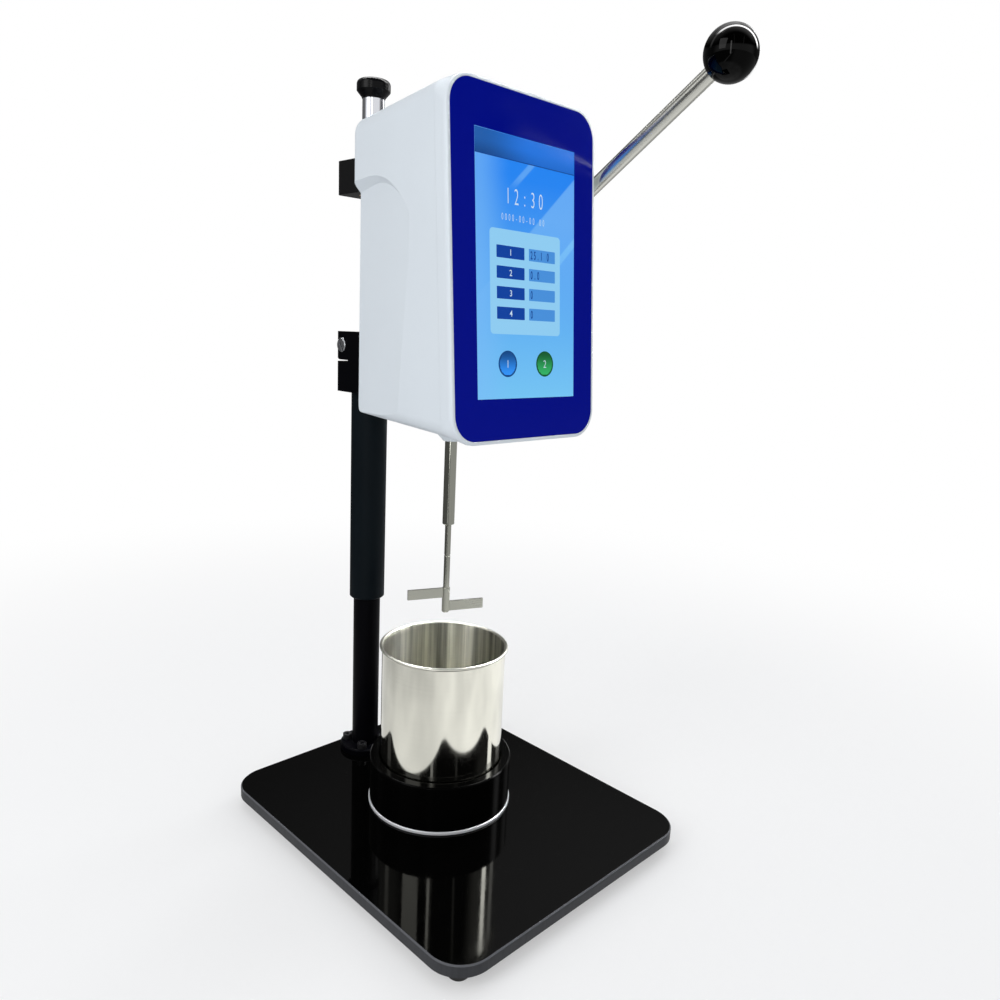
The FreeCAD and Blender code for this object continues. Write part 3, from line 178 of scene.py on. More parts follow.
class ViscometerScreen(PropertyGroup):
    top: colour("Upper colour", "Display colour behind the clock", (36, 134, 244))
    bottom: colour("Lower colour", "Display colour at the bottom", (118, 198, 246))
    sheen: colour("Band colour", "Pale slanting bands of the display", (124, 190, 250))
    card: colour("Card", "Pale card behind the readings", (146, 208, 246))
    label: colour("Label", "Dark boxes at the left of the card", (14, 66, 160))
    reading: colour("Reading", "Boxes at the right of the card", (74, 146, 222))
    ink: colour("Ink", "Dark figures and lines", (16, 62, 140))
    digits: colour("Digits", "Light digits", (206, 228, 244))
    key_blue: colour("Blue key", "Colour of the left round key", (36, 112, 202))
    key_green: colour("Green key", "Colour of the right round key", (38, 136, 76))
    glow: FloatProperty(name="Glow", description="How much light the display gives off", default=0.86,
                        min=0.0, max=2.0)
    bar_height: length("Title bar", "Height of the title bar", 12.8)
    clock_height: length("Clock height", "Height of the clock digits", 8.8)
    clock_pitch: length("Clock pitch", "Distance between two clock digits", 6.7)
    date_height: length("Date height", "Height of the date digits", 3.7)
    date_pitch: length("Date pitch", "Distance between two date digits", 2.8)
    card_width: length("Card width", "Width of the card", 58.1)
    card_height: length("Card height", "Height of the card", 57.5)
    card_corner: length("Card corner", "Corner radius of the card", 2.4)
    row_pitch: length("Row pitch", "Distance between two readings", 11.2)
    box_width: length("Box width", "Width of a label or reading", 22.4)
    box_height: length("Box height", "Height of a label or reading", 6.8)
    key_diameter: length("Key", "Diameter of the two round keys", 15.0)


class ViscometerStage(PropertyGroup):
    floor: colour("Floor", "Pale floor", (240, 241, 243))
    floor_size: FloatProperty(name="Floor size", description="Side of the square floor", default=30.0,
                              min=1.0, unit="LENGTH")
    key_power: power("Key lamp", "Power of the large lamp at the left", 9.5)
    strip_power: power("Strip lamp", "Power of the tall narrow lamp at the front left", 3.0)
    fill_power: power("Fill lamp", "Power of the lamp at the right", 6.0)
    top_power: power("Top lamp", "Power of the lamp overhead", 3.2)
    sky: FloatProperty(name="Room light", description="Even light of the room", default=0.64,
                       min=0.0, max=2.0)


# Shader helpers

def empty_material(name):
    """New material with nothing in it but its output."""
    material = bpy.data.materials.new(name)
    material.use_nodes = True
    tree = material.node_tree
    tree.nodes.clear()
    return material, tree, tree.nodes.new("ShaderNodeOutputMaterial")


def new_material(name):
    """New material with one surface shader, whose sockets the finishes fill."""
    material, tree, output = empty_material(name)
    shader = tree.nodes.new("ShaderNodeBsdfPrincipled")
    tree.links.new(shader.outputs["BSDF"], output.inputs["Surface"])
    return material, tree, shader


def add_node(tree, kind, inputs=None, **settings):
    """New node with its settings, and its inputs either linked or given a constant."""
    node = tree.nodes.new(kind)
    for key, value in settings.items():
        setattr(node, key, value)
    for key, value in (inputs or {}).items():
        if isinstance(value, bpy.types.NodeSocket):
            tree.links.new(value, node.inputs[key])
        else:
            node.inputs[key].default_value = value
    return node


def maths(tree, operation, first, second=0.0, clamp=False):
    inputs = {0: first, 1: second}
    return add_node(tree, "ShaderNodeMath", inputs, operation=operation, use_clamp=clamp).outputs[0]


def vector_maths(tree, operation, first, second=(0.0, 0.0, 0.0)):
    return add_node(tree, "ShaderNodeVectorMath", {0: first, 1: second}, operation=operation)


def place(tree, scale=(1.0, 1.0, 1.0), centre=(0.0, 0.0, 0.0), turn=(0.0, 0.0, 0.0)):
    """The point on the piece, measured from a centre, stretched and turned."""
    coordinates = add_node(tree, "ShaderNodeTexCoord").outputs["Object"]
    from_centre = vector_maths(tree, "SUBTRACT", coordinates, tuple(centre)).outputs[0]
    inputs = {"Vector": from_centre, "Scale": scale, "Rotation": turn}
    return add_node(tree, "ShaderNodeMapping", inputs, vector_type="POINT").outputs[0]


def noise(tree, vector, scale, detail=2.0, roughness=0.5):
    inputs = {"Vector": vector, "Scale": scale, "Detail": detail, "Roughness": roughness}
    return add_node(tree, "ShaderNodeTexNoise", inputs).outputs["Fac"]


def spread(tree, value, low, high, start=0.0, end=1.0, kind="LINEAR"):
    """Low where the value is at start, high where it is at end, held beyond both."""
    inputs = {"Value": value, "From Min": start, "From Max": end, "To Min": low, "To Max": high}
    return add_node(tree, "ShaderNodeMapRange", inputs, interpolation_type=kind).outputs["Result"]


def band(tree, value, low, high, soft, strength):
    """Weight of a band of values from low to high, which rises and fades over a soft edge."""
    rise = spread(tree, value, 0.0, strength, low, low + soft, "SMOOTHSTEP")
    fall = spread(tree, value, 1.0, 0.0, high, high + soft, "SMOOTHSTEP")
    return maths(tree, "MULTIPLY", rise, fall)


def towards(tree, vector, way):
    """How far a vector reaches along a direction."""
    return vector_maths(tree, "DOT_PRODUCT", vector, way).outputs["Value"]


def length_of(tree, vector):
    return vector_maths(tree, "LENGTH", vector).outputs["Value"]


def blend_colours(tree, factor, first, second):
    """First colour where the factor is 0, second where it is 1."""
    node = add_node(tree, "ShaderNodeMix", data_type="RGBA")
    for index, value in ((0, factor), (6, first), (7, second)):
        if isinstance(value, bpy.types.NodeSocket):
            tree.links.new(value, node.inputs[index])
        elif index == 0:
            node.inputs[0].default_value = value
        else:
            node.inputs[index].default_value = tuple(value)[:3] + (1.0,)
    return node.outputs[2]


def scaled(tone, factor):
    return tuple(min(1.0, channel * factor) for channel in tone)


def add_relief(tree, shader, height, strength, distance, edge=0.0):
    """Fine relief from a height, over edges that are rounded by a small radius."""
    inputs = {"Height": height, "Strength": strength, "Distance": distance}
    if edge:
        inputs["Normal"] = add_node(tree, "ShaderNodeBevel", {"Radius": edge}, samples=6).outputs["Normal"]
    bump = add_node(tree, "ShaderNodeBump", inputs)
    tree.links.new(bump.outputs["Normal"], shader.inputs["Normal"])


def moulded_plastic(name, tone, roughness, grain, gloss=0.0, edge=SOFT_EDGE, specular=0.5,
                    grain_scale=2600.0):
    """Moulded plastic: slight mottle in the colour, fine spark grain in the surface."""
    material, tree, shader = new_material(name)
    cloud = noise(tree, place(tree), 14.0, 3.0)
    tint = blend_colours(tree, cloud, scaled(tone, 0.965), scaled(tone, 1.03))
    tree.links.new(tint, shader.inputs["Base Color"])
    pores = noise(tree, place(tree), grain_scale, 2.0, 0.6)
    tree.links.new(spread(tree, pores, roughness - 0.05, roughness + 0.07), shader.inputs["Roughness"])
    shader.inputs["Specular IOR Level"].default_value = specular
    shader.inputs["Coat Weight"].default_value = gloss
    shader.inputs["Coat Roughness"].default_value = 0.08
    add_relief(tree, shader, pores, grain, GRAIN_DEPTH, edge)
    return material


def facing_up(tree):
    """How far the surface faces upwards, from -1 to 1."""
    normal = add_node(tree, "ShaderNodeNewGeometry").outputs["True Normal"]
    return add_node(tree, "ShaderNodeSeparateXYZ", {0: normal}).outputs["Z"]


def gloss_paint(name, tone, roughness, specular, side=None):
    """Deep gloss black: faint orange peel, a few wipe marks, and sides that may be sawn and greyer, with a
    painted highlight in light grey on the chamfer along their top edge.
    """
    material, tree, shader = new_material(name)
    wipe = noise(tree, place(tree, (3.0, 22.0, 3.0), turn=(0.0, 0.0, 0.6)), 3.0, 3.0, 0.6)
    tint = blend_colours(tree, wipe, scaled(tone, 0.8), scaled(tone, 1.3))
    rough = spread(tree, wipe, roughness, roughness + 0.06, 0.35, 0.75)
    if side:
        up = facing_up(tree)
        saw = noise(tree, place(tree, (500.0, 500.0, 40.0)), 1.0, 3.0, 0.6)
        sawn = blend_colours(tree, saw, scaled(side, 0.8), scaled(side, 1.2))
        # Painted highlight: where the surface faces half up, on the chamfer along the top edge, the colour
        # is the side grey made 2.4 times lighter; from here sawn holds this painted highlight as well.
        sawn = blend_colours(tree, spread(tree, up, 0.0, 1.0, 0.3, 0.6), sawn, scaled(side, 2.4))
        top = spread(tree, up, 0.0, 1.0, 0.8, 0.9)
        tint = blend_colours(tree, top, sawn, tint)
        rough = maths(tree, "ADD", rough, spread(tree, top, 0.35, 0.0))
    tree.links.new(tint, shader.inputs["Base Color"])
    tree.links.new(rough, shader.inputs["Roughness"])
    shader.inputs["Specular IOR Level"].default_value = specular
    peel = noise(tree, place(tree), 380.0, 1.0)
    add_relief(tree, shader, peel, 0.02, PEEL_DEPTH, PAINT_EDGE)
    return material


def anodised(name, tone, roughness, specular):
    """Black anodised metal: very fine drawn lines along the height, satin sheen."""
    material, tree, shader = new_material(name)
    lines = noise(tree, place(tree, (900.0, 900.0, 14.0)), 1.0, 3.0, 0.6)
    cloud = noise(tree, place(tree), 30.0, 2.0)
    tint = blend_colours(tree, cloud, scaled(tone, 0.85), scaled(tone, 1.25))
    tree.links.new(tint, shader.inputs["Base Color"])
    tree.links.new(spread(tree, lines, roughness - 0.05, roughness + 0.09), shader.inputs["Roughness"])
    shader.inputs["Specular IOR Level"].default_value = specular
    add_relief(tree, shader, lines, 0.05, LINE_DEPTH, SOFT_EDGE)
    return material


def turned_metal(name, tone, roughness, stretch, relief, edge=0.0, variation=0.08, metallic=1.0):
    """Bare metal with the fine rings that turning or polishing leaves."""
    material, tree, shader = new_material(name)
    rings = noise(tree, place(tree, stretch), 1.0, 4.0, 0.65)
    cloud = noise(tree, place(tree), 40.0, 2.0)
    tint = blend_colours(tree, rings, scaled(tone, 1.0 - variation), scaled(tone, 1.0 + variation / 2))
    tree.links.new(tint, shader.inputs["Base Color"])
    mixed = maths(tree, "ADD", maths(tree, "MULTIPLY", rings, 0.7), maths(tree, "MULTIPLY", cloud, 0.3))
    tree.links.new(spread(tree, mixed, max(0.02, roughness - 0.05), roughness + 0.06, 0.3, 0.7),
                   shader.inputs["Roughness"])
    shader.inputs["Metallic"].default_value = metallic
    add_relief(tree, shader, rings, relief, RING_DEPTH, edge)
    return material


def brushed_cup(name, tone, centre, rise):
    """Polished drawn steel: smeared reflections, a painted reflection inside as soft upright dark bands in
    the base colour, a duller rolled rim.
    """
    material, tree, shader = new_material(name)
    here = place(tree, centre=centre)
    height = add_node(tree, "ShaderNodeSeparateXYZ", {0: here}).outputs["Z"]
    level = vector_maths(tree, "MULTIPLY", here, (1.0, 1.0, 0.0)).outputs[0]
    radius = length_of(tree, level)
    middle = CUP_MIDDLE_RADIUS * MM
    inside = spread(tree, radius, 1.0, 0.0, middle - CUP_SOFTNESS * MM, middle)
    # Painted reflection: inside the cup the base colour darkens to about a third in soft upright bands,
    # which stand in for the room mirrored in the wall.
    reflection_streaks = noise(tree, place(tree, (1.0, 1.0, 0.02), centre), 110.0, 4.0, 0.7)
    fine = noise(tree, place(tree, (1.0, 1.0, 260.0), centre), 9.0, 3.0, 0.6)
    tint = blend_colours(tree, fine, scaled(tone, 0.95), scaled(tone, 1.02))
    streaked_reflection = blend_colours(tree, spread(tree, reflection_streaks, 0.0, 1.0, 0.38, 0.62), scaled(tone, 0.36), tone)
    tree.links.new(blend_colours(tree, inside, tint, streaked_reflection), shader.inputs["Base Color"])
    rough = maths(tree, "ADD", spread(tree, fine, 0.05, 0.09), spread(tree, inside, 0.0, 0.28))
    rim = spread(tree, height, 0.0, 0.24, rise - CUP_RIM_START * MM, rise - CUP_RIM_FULL * MM)
    tree.links.new(maths(tree, "ADD", rough, rim), shader.inputs["Roughness"])
    shader.inputs["Metallic"].default_value = 1.0
    tree.links.new(spread(tree, inside, 0.3, 0.9), shader.inputs["Anisotropic"])
    shader.inputs["Anisotropic Rotation"].default_value = 0.25
    around = add_node(tree, "ShaderNodeTangent", direction_type="RADIAL", axis="Z")
    tree.links.new(around.outputs["Tangent"], shader.inputs["Tangent"])
    add_relief(tree, shader, fine, 0.02, RING_DEPTH)
    return material


def rubber(name, tone):
    material, tree, shader = new_material(name)
    dust = noise(tree, place(tree), 420.0, 4.0, 0.7)
    tint = blend_colours(tree, spread(tree, dust, 0.0, 1.0, 0.45, 0.8), tone, scaled(tone, 1.8))
    tree.links.new(tint, shader.inputs["Base Color"])
    tree.links.new(spread(tree, dust, 0.62, 0.85), shader.inputs["Roughness"])
    add_relief(tree, shader, dust, 0.2, 0.0001, 0.0003)
    return material


def board_laminate(name):
    """Solder mask over copper: darker lines in a brick pattern."""
    material, tree, shader = new_material(name)
    upright = place(tree, (90.0, 90.0, 90.0), turn=(math.pi / 2, 0.0, 0.0))
    inputs = {"Vector": upright, "Scale": 1.0, "Mortar Size": 0.06, "Color1": paint(16, 92, 46) + (1.0,),
              "Color2": paint(20, 110, 58) + (1.0,), "Mortar": paint(9, 60, 30) + (1.0,)}
    tracks = add_node(tree, "ShaderNodeTexBrick", inputs)
    tree.links.new(tracks.outputs["Color"], shader.inputs["Base Color"])
    fuzz = noise(tree, place(tree), 900.0, 2.0)
    tree.links.new(spread(tree, fuzz, 0.3, 0.5), shader.inputs["Roughness"])
    add_relief(tree, shader, fuzz, 0.1, 0.00005)
    return material


# Thin pieces made at the origin, and their place on the front panel

def panel_frame():
    """Turns panel coordinates in metres (across, up, out of the front) into the world's."""
    low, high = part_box("front_panel")
    out = Vector((0.0, -math.cos(PANEL_LEAN), math.sin(PANEL_LEAN)))
    up = Vector((0.0, math.sin(PANEL_LEAN), math.cos(PANEL_LEAN)))
    across = Vector((1.0, 0.0, 0.0))
    centre = (low + high) / 2 + out * (PANEL_THICKNESS / 2 * MM)
    turn = Matrix((across, up, out)).transposed().to_4x4()
    return Matrix.Translation(centre) @ turn


def deselect_all():
    if bpy.context.mode != "OBJECT":
        bpy.ops.object.mode_set(mode="OBJECT")
    bpy.ops.object.select_all(action="DESELECT")


def select_only(piece):
    deselect_all()
    piece.select_set(True)
    bpy.context.view_layer.objects.active = piece


def active_piece(name):
    """Names the piece that was just made, and its mesh."""
    piece = bpy.context.view_layer.objects.active
    piece.name = name
    piece.data.name = name
    return piece


def settle(piece, matrix):
    """Puts a piece made at the origin in its place and leaves the place in its mesh."""
    select_only(piece)
    piece.matrix_world = matrix @ piece.matrix_world
    bpy.ops.object.transform_apply(location=True, rotation=True, scale=True)


def give(piece, body, slot, *materials):
    piece.data.materials.clear()
    for material in materials:
        piece.data.materials.append(material)
    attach(piece, body)
    return piece


def join_all(name, objects):
    deselect_all()
    for piece in objects:
        piece.select_set(True)
    bpy.context.view_layer.objects.active = objects[0]
    if len(objects) > 1:
        bpy.ops.object.join()
    return active_piece(name)


def shifted(piece, across, up, out=0.0):
    """Moves a piece made at the origin and leaves the move in its mesh."""
    select_only(piece)
    piece.location = (across, up, out)
    bpy.ops.object.transform_apply(location=True, rotation=False, scale=False)
    return piece


def flat_tile(name, width, height, corner, low, thickness):
    """Thin plate lying in the panel's plane at the origin, with round corners if a radius is given."""
    deselect_all()
    bpy.ops.mesh.primitive_plane_add(size=1.0, location=(0.0, 0.0, low))
    piece = active_piece(name)
    piece.scale = (width, height, 1.0)
    bpy.ops.object.transform_apply(location=True, rotation=False, scale=True)
    bpy.ops.object.mode_set(mode="EDIT")
    bpy.ops.mesh.select_all(action="SELECT")
    if corner > 0.0:
        bpy.ops.mesh.bevel(offset=corner, offset_type="OFFSET", segments=6, affect="VERTICES")
        bpy.ops.mesh.select_all(action="SELECT")
    bpy.ops.mesh.extrude_region_move(TRANSFORM_OT_translate={"value": (0.0, 0.0, thickness)})
    bpy.ops.mesh.select_all(action="SELECT")
    bpy.ops.mesh.normals_make_consistent(inside=False)
    bpy.ops.object.mode_set(mode="OBJECT")
    return piece


def figure(mark, width, height, weight):
    """One plain figure as a filled outline, scaled as a nought of this width and height would be."""
    deselect_all()
    bpy.ops.object.text_add(location=(0.0, 0.0, 0.0))
    piece = active_piece("figure")
    piece.data.body = mark
    piece.data.offset = weight
    piece.data.resolution_u = 4
    piece.data.extrude = 0.5
    bpy.ops.object.convert(target="MESH")
    piece = active_piece("figure")
    across = [vertex.co.x for vertex in piece.data.vertices]
    piece.location = (-(min(across) + max(across)) / 2 * width / FIGURE_WIDTH, -height / 2, 0.0)
    piece.scale = (width / FIGURE_WIDTH, height / FIGURE_HEIGHT, LAYER)
    bpy.ops.object.transform_apply(location=True, rotation=False, scale=True)
    return piece


def figures(name, words, width, height, pitch, low, weight=THIN_STROKE):
    """Plain figures in even steps, as a thin raised mesh centred on the origin."""
    pieces = []
    for number, mark in enumerate(words):
        if mark != " ":
            step = (number - (len(words) - 1) / 2) * pitch
            pieces.append(shifted(figure(mark, width, height, weight), step, 0.0, low + LAYER / 2))
    piece = join_all(name, pieces)
    bpy.ops.object.mode_set(mode="EDIT")
    bpy.ops.mesh.select_all(action="SELECT")
    bpy.ops.mesh.remove_doubles(threshold=0.000002)
    bpy.ops.mesh.normals_make_consistent(inside=False)
    bpy.ops.object.mode_set(mode="OBJECT")
    return piece


# Display

def ink(name, tone, glow):
    """A lit patch of the display: flat colour broken by the fine dots of the display, made once."""
    if name in bpy.data.materials:
        return bpy.data.materials[name]
    material, tree, shader = new_material(name)
    inputs = {"Vector": place(tree), "Scale": 900.0}
    columns = add_node(tree, "ShaderNodeTexWave", inputs, bands_direction="X")
    rows = add_node(tree, "ShaderNodeTexWave", inputs, bands_direction="Z")
    dots = maths(tree, "MULTIPLY", columns.outputs["Fac"], rows.outputs["Fac"])
    finish_lit(tree, shader, blend_colours(tree, dots, scaled(tone, 0.97), scaled(tone, 1.03)), glow)
    return material


def finish_lit(tree, shader, tint, glow):
    """Lit face behind smooth glass: mostly its own light, a dark base and a faint smear."""
    tree.links.new(blend_colours(tree, 0.86, tint, BLACK), shader.inputs["Base Color"])
    tree.links.new(tint, shader.inputs["Emission Color"])
    shader.inputs["Emission Strength"].default_value = glow
    shader.inputs["Specular IOR Level"].default_value = 0.12
    smear = noise(tree, place(tree), 30.0, 3.0)
    tree.links.new(spread(tree, smear, 0.16, 0.28), shader.inputs["Roughness"])


def on_display(tree):
    """Distances across and straight up from the middle of the display."""
    here = add_node(tree, "ShaderNodeSeparateXYZ", {0: place(tree, centre=panel_frame().translation)})
    return here.outputs["X"], here.outputs["Z"]


def display_picture(settings):
    """Display picture: blue that pales downwards, with wide slanting bands of light."""
    material, tree, shader = new_material("display_picture")
    across, up = on_display(tree)
    base = blend_colours(tree, spread(tree, up, 1.0, 0.0, -0.072, 0.05), settings.top, settings.bottom)
    side = spread(tree, across, 0.55, 0.0, -0.041, -0.012, "SMOOTHSTEP")
    base = blend_colours(tree, side, base, settings.sheen)
    slope = maths(tree, "SUBTRACT", across, maths(tree, "MULTIPLY", up, 1.12))
    wide = band(tree, slope, -0.0235, 0.2, 0.002, 0.6)
    upper = spread(tree, up, 0.0, 1.0, -0.035, 0.03)
    base = blend_colours(tree, maths(tree, "MULTIPLY", wide, upper), base, settings.sheen)
    thin = band(tree, slope, 0.0145, 0.0205, 0.002, 0.6)
    base = blend_colours(tree, maths(tree, "MULTIPLY", thin, upper), base, scaled(settings.sheen, 1.25))
    small = band(tree, slope, -0.0655, -0.0605, 0.002, 0.5)
    high = spread(tree, up, 0.0, 1.0, 0.042, 0.052, "SMOOTHSTEP")
    base = blend_colours(tree, maths(tree, "MULTIPLY", small, high), base, settings.sheen)
    finish_lit(tree, shader, base, settings.glow)
    return material


def title_bar_finish(settings):
    """Title bar: darker at the left and along its lower edge."""
    material, tree, shader = new_material("display_title_bar")
    across, up = on_display(tree)
    side = spread(tree, across, 0.0, 1.0, -0.036, 0.004, "SMOOTHSTEP")
    base = blend_colours(tree, side, paint(*TITLE_LEFT), paint(*TITLE_RIGHT))
    drop = spread(tree, up, 0.6, 0.0, 0.059, 0.067, "SMOOTHSTEP")
    dark = maths(tree, "MULTIPLY", drop, spread(tree, across, 1.0, 0.3, -0.03, 0.01))
    finish_lit(tree, shader, blend_colours(tree, dark, base, paint(*TITLE_EDGE)), settings.glow)
    return material


def key_finish(name, tone, centre, radius, glow):
    """Round key drawn on the display: dark at the top, light at the bottom."""
    material, tree, shader = new_material(name)
    here = add_node(tree, "ShaderNodeSeparateXYZ", {0: place(tree, centre=centre)})
    height = spread(tree, here.outputs["Z"], 1.0, 0.0, -radius, radius, "SMOOTHSTEP")
    tint = blend_colours(tree, height, scaled(tone, KEY_DARK), scaled(tone, KEY_LIGHT))
    finish_lit(tree, shader, tint, glow)
    return material


def fit_to_screen(piece, *materials):
    """Puts a piece made at the origin on the display and lets it ride with the head."""
    settle(piece, panel_frame())
    return give(piece, "head", "display", *materials)


class VISCOMETER_OT_title_bar(Operator):
    """Draws the title bar of the display, with no words, and the line below it"""
    bl_idname = "viscometer.title_bar"
    bl_label = "Title bar"

    def execute(self, context):
        settings = context.scene.viscometer_screen
        top = SCREEN_HEIGHT / 2 * MM - SCREEN_MARGIN * MM
        width = (SCREEN_WIDTH - 2 * SCREEN_MARGIN) * MM
        bar = flat_tile("screen_title_bar", width, settings.bar_height, 0.0, SCREEN_FACE - LAYER, 2 * LAYER)
        fit_to_screen(shifted(bar, 0.0, top - settings.bar_height / 2), title_bar_finish(settings))
        line = flat_tile("screen_title_line", width, TITLE_LINE * MM, 0.0, SCREEN_FACE - LAYER, 2.2 * LAYER)
        fit_to_screen(shifted(line, 0.0, top - settings.bar_height - TITLE_LINE_DROP * MM),
                      ink("display_ink", settings.ink, settings.glow))
        return {"FINISHED"}


class VISCOMETER_OT_clock(Operator):
    """Draws the clock and the date as plain figures"""
    bl_idname = "viscometer.clock"
    bl_label = "Clock and date"

    def execute(self, context):
        settings = context.scene.viscometer_screen
        pale = ink("display_digits", settings.digits, settings.glow)
        height, pitch = settings.clock_height, settings.clock_pitch
        clock = figures("screen_clock", "12:30", height * CLOCK_WIDTH, height, pitch, SCREEN_FACE)
        fit_to_screen(shifted(clock, *CLOCK_PLACE), pale)
        height, pitch = settings.date_height, settings.date_pitch
        date = figures("screen_date", "0000-00-00 00", height * DATE_WIDTH, height, pitch, SCREEN_FACE)
        fit_to_screen(shifted(date, *DATE_PLACE), pale)
        return {"FINISHED"}


class VISCOMETER_OT_readings(Operator):
    """Draws the pale card with its four rows: a numbered label and a reading"""
    bl_idname = "viscometer.readings"
    bl_label = "Readings"

    def execute(self, context):
        settings = context.scene.viscometer_screen
        glow = settings.glow
        card = flat_tile("screen_card", settings.card_width, settings.card_height, settings.card_corner,
                         SCREEN_FACE - LAYER, 2 * LAYER)
        fit_to_screen(shifted(card, *CARD_PLACE), ink("display_card", settings.card, glow))
        groups = {"screen_labels": [], "screen_readings": [], "screen_label_numbers": [],
                  "screen_reading_numbers": []}
        boxes = (("screen_labels", LABEL_ACROSS), ("screen_readings", READING_ACROSS))
        figure_low = SCREEN_FACE + 1.5 * LAYER
        for row, words in enumerate(("25.1 0", "0.0", "0", "0")):
            up = FIRST_ROW_UP - row * settings.row_pitch
            for group, across in boxes:
                tile = flat_tile("box", settings.box_width, settings.box_height, BOX_CORNER * MM,
                                 SCREEN_FACE + LAYER / 2, LAYER)
                groups[group].append(shifted(tile, across, up))
            height = settings.box_height * LABEL_HEIGHT
            sign = figures("sign", str(row + 1), height * SIGN_WIDTH, height, height, figure_low,
                           LABEL_STROKE)
            groups["screen_label_numbers"].append(shifted(sign, LABEL_ACROSS, up))
            height = settings.box_height * READING_HEIGHT
            step = height * READING_PITCH
            sign = figures("sign", words, height * READING_WIDTH, height, step, figure_low, READING_STROKE)
            across = READING_START + (len(words) - 1) / 2 * step
            groups["screen_reading_numbers"].append(shifted(sign, across, up))
        finishes = (ink("display_label", settings.label, glow),
                    ink("display_reading", settings.reading, glow),
                    ink("display_digits", settings.digits, glow),
                    ink("display_ink", settings.ink, glow))
        for (name, group), finish in zip(groups.items(), finishes):
            fit_to_screen(join_all(name, group), finish)
        return {"FINISHED"}


class VISCOMETER_OT_keys(Operator):
    """Draws the two round keys, each with a plain number"""
    bl_idname = "viscometer.keys"
    bl_label = "Round keys"

    def execute(self, context):
        settings = context.scene.viscometer_screen
        glow = settings.glow
        radius = settings.key_diameter / 2
        turn = panel_frame()
        out = turn.col[2].to_3d()
        for name, tone, across, mark in (("blue", settings.key_blue, BLUE_KEY_ACROSS, "1"),
                                         ("green", settings.key_green, GREEN_KEY_ACROSS, "2")):
            deselect_all()
            bpy.ops.mesh.primitive_circle_add(vertices=64, radius=radius, fill_type="NGON",
                                              location=(0.0, 0.0, SCREEN_FACE - LAYER))
            key = active_piece("screen_key_" + name)
            bpy.ops.object.transform_apply(location=True, rotation=False, scale=False)
            bpy.ops.object.mode_set(mode="EDIT")
            bpy.ops.mesh.select_all(action="SELECT")
            bpy.ops.mesh.extrude_region_move(TRANSFORM_OT_translate={"value": (0.0, 0.0, 2 * LAYER)})
            bpy.ops.mesh.inset(thickness=radius * KEY_RIM, depth=0.0)
            bpy.ops.mesh.inset(thickness=radius * KEY_STEP, depth=LAYER)
            bpy.ops.mesh.select_all(action="SELECT")
            bpy.ops.mesh.normals_make_consistent(inside=False)
            bpy.ops.object.mode_set(mode="OBJECT")
            centre = turn @ Vector((across, KEYS_UP, 0.0))
            rim = ink("display_key_rim_" + name, scaled(tone, KEY_DARK), glow)
            fit_to_screen(shifted(key, across, KEYS_UP), rim,
                          key_finish("display_key_" + name, tone, centre, radius, glow))
            front = max(polygon.center.dot(out) for polygon in key.data.polygons)
            for polygon in key.data.polygons:
                raised = polygon.normal.dot(out) > 0.9 and polygon.center.dot(out) > front - LAYER / 2
                polygon.material_index = 1 if raised else 0
            height = settings.key_diameter * KEY_SIGN_HEIGHT
            sign = figures("screen_key_number_" + name, mark, height * SIGN_WIDTH, height, height,
                           SCREEN_FACE + 2.2 * LAYER)
            fit_to_screen(shifted(sign, across, KEYS_UP), ink("display_digits", settings.digits, glow))
        return {"FINISHED"}


# Finishes of the machined, moulded and turned pieces

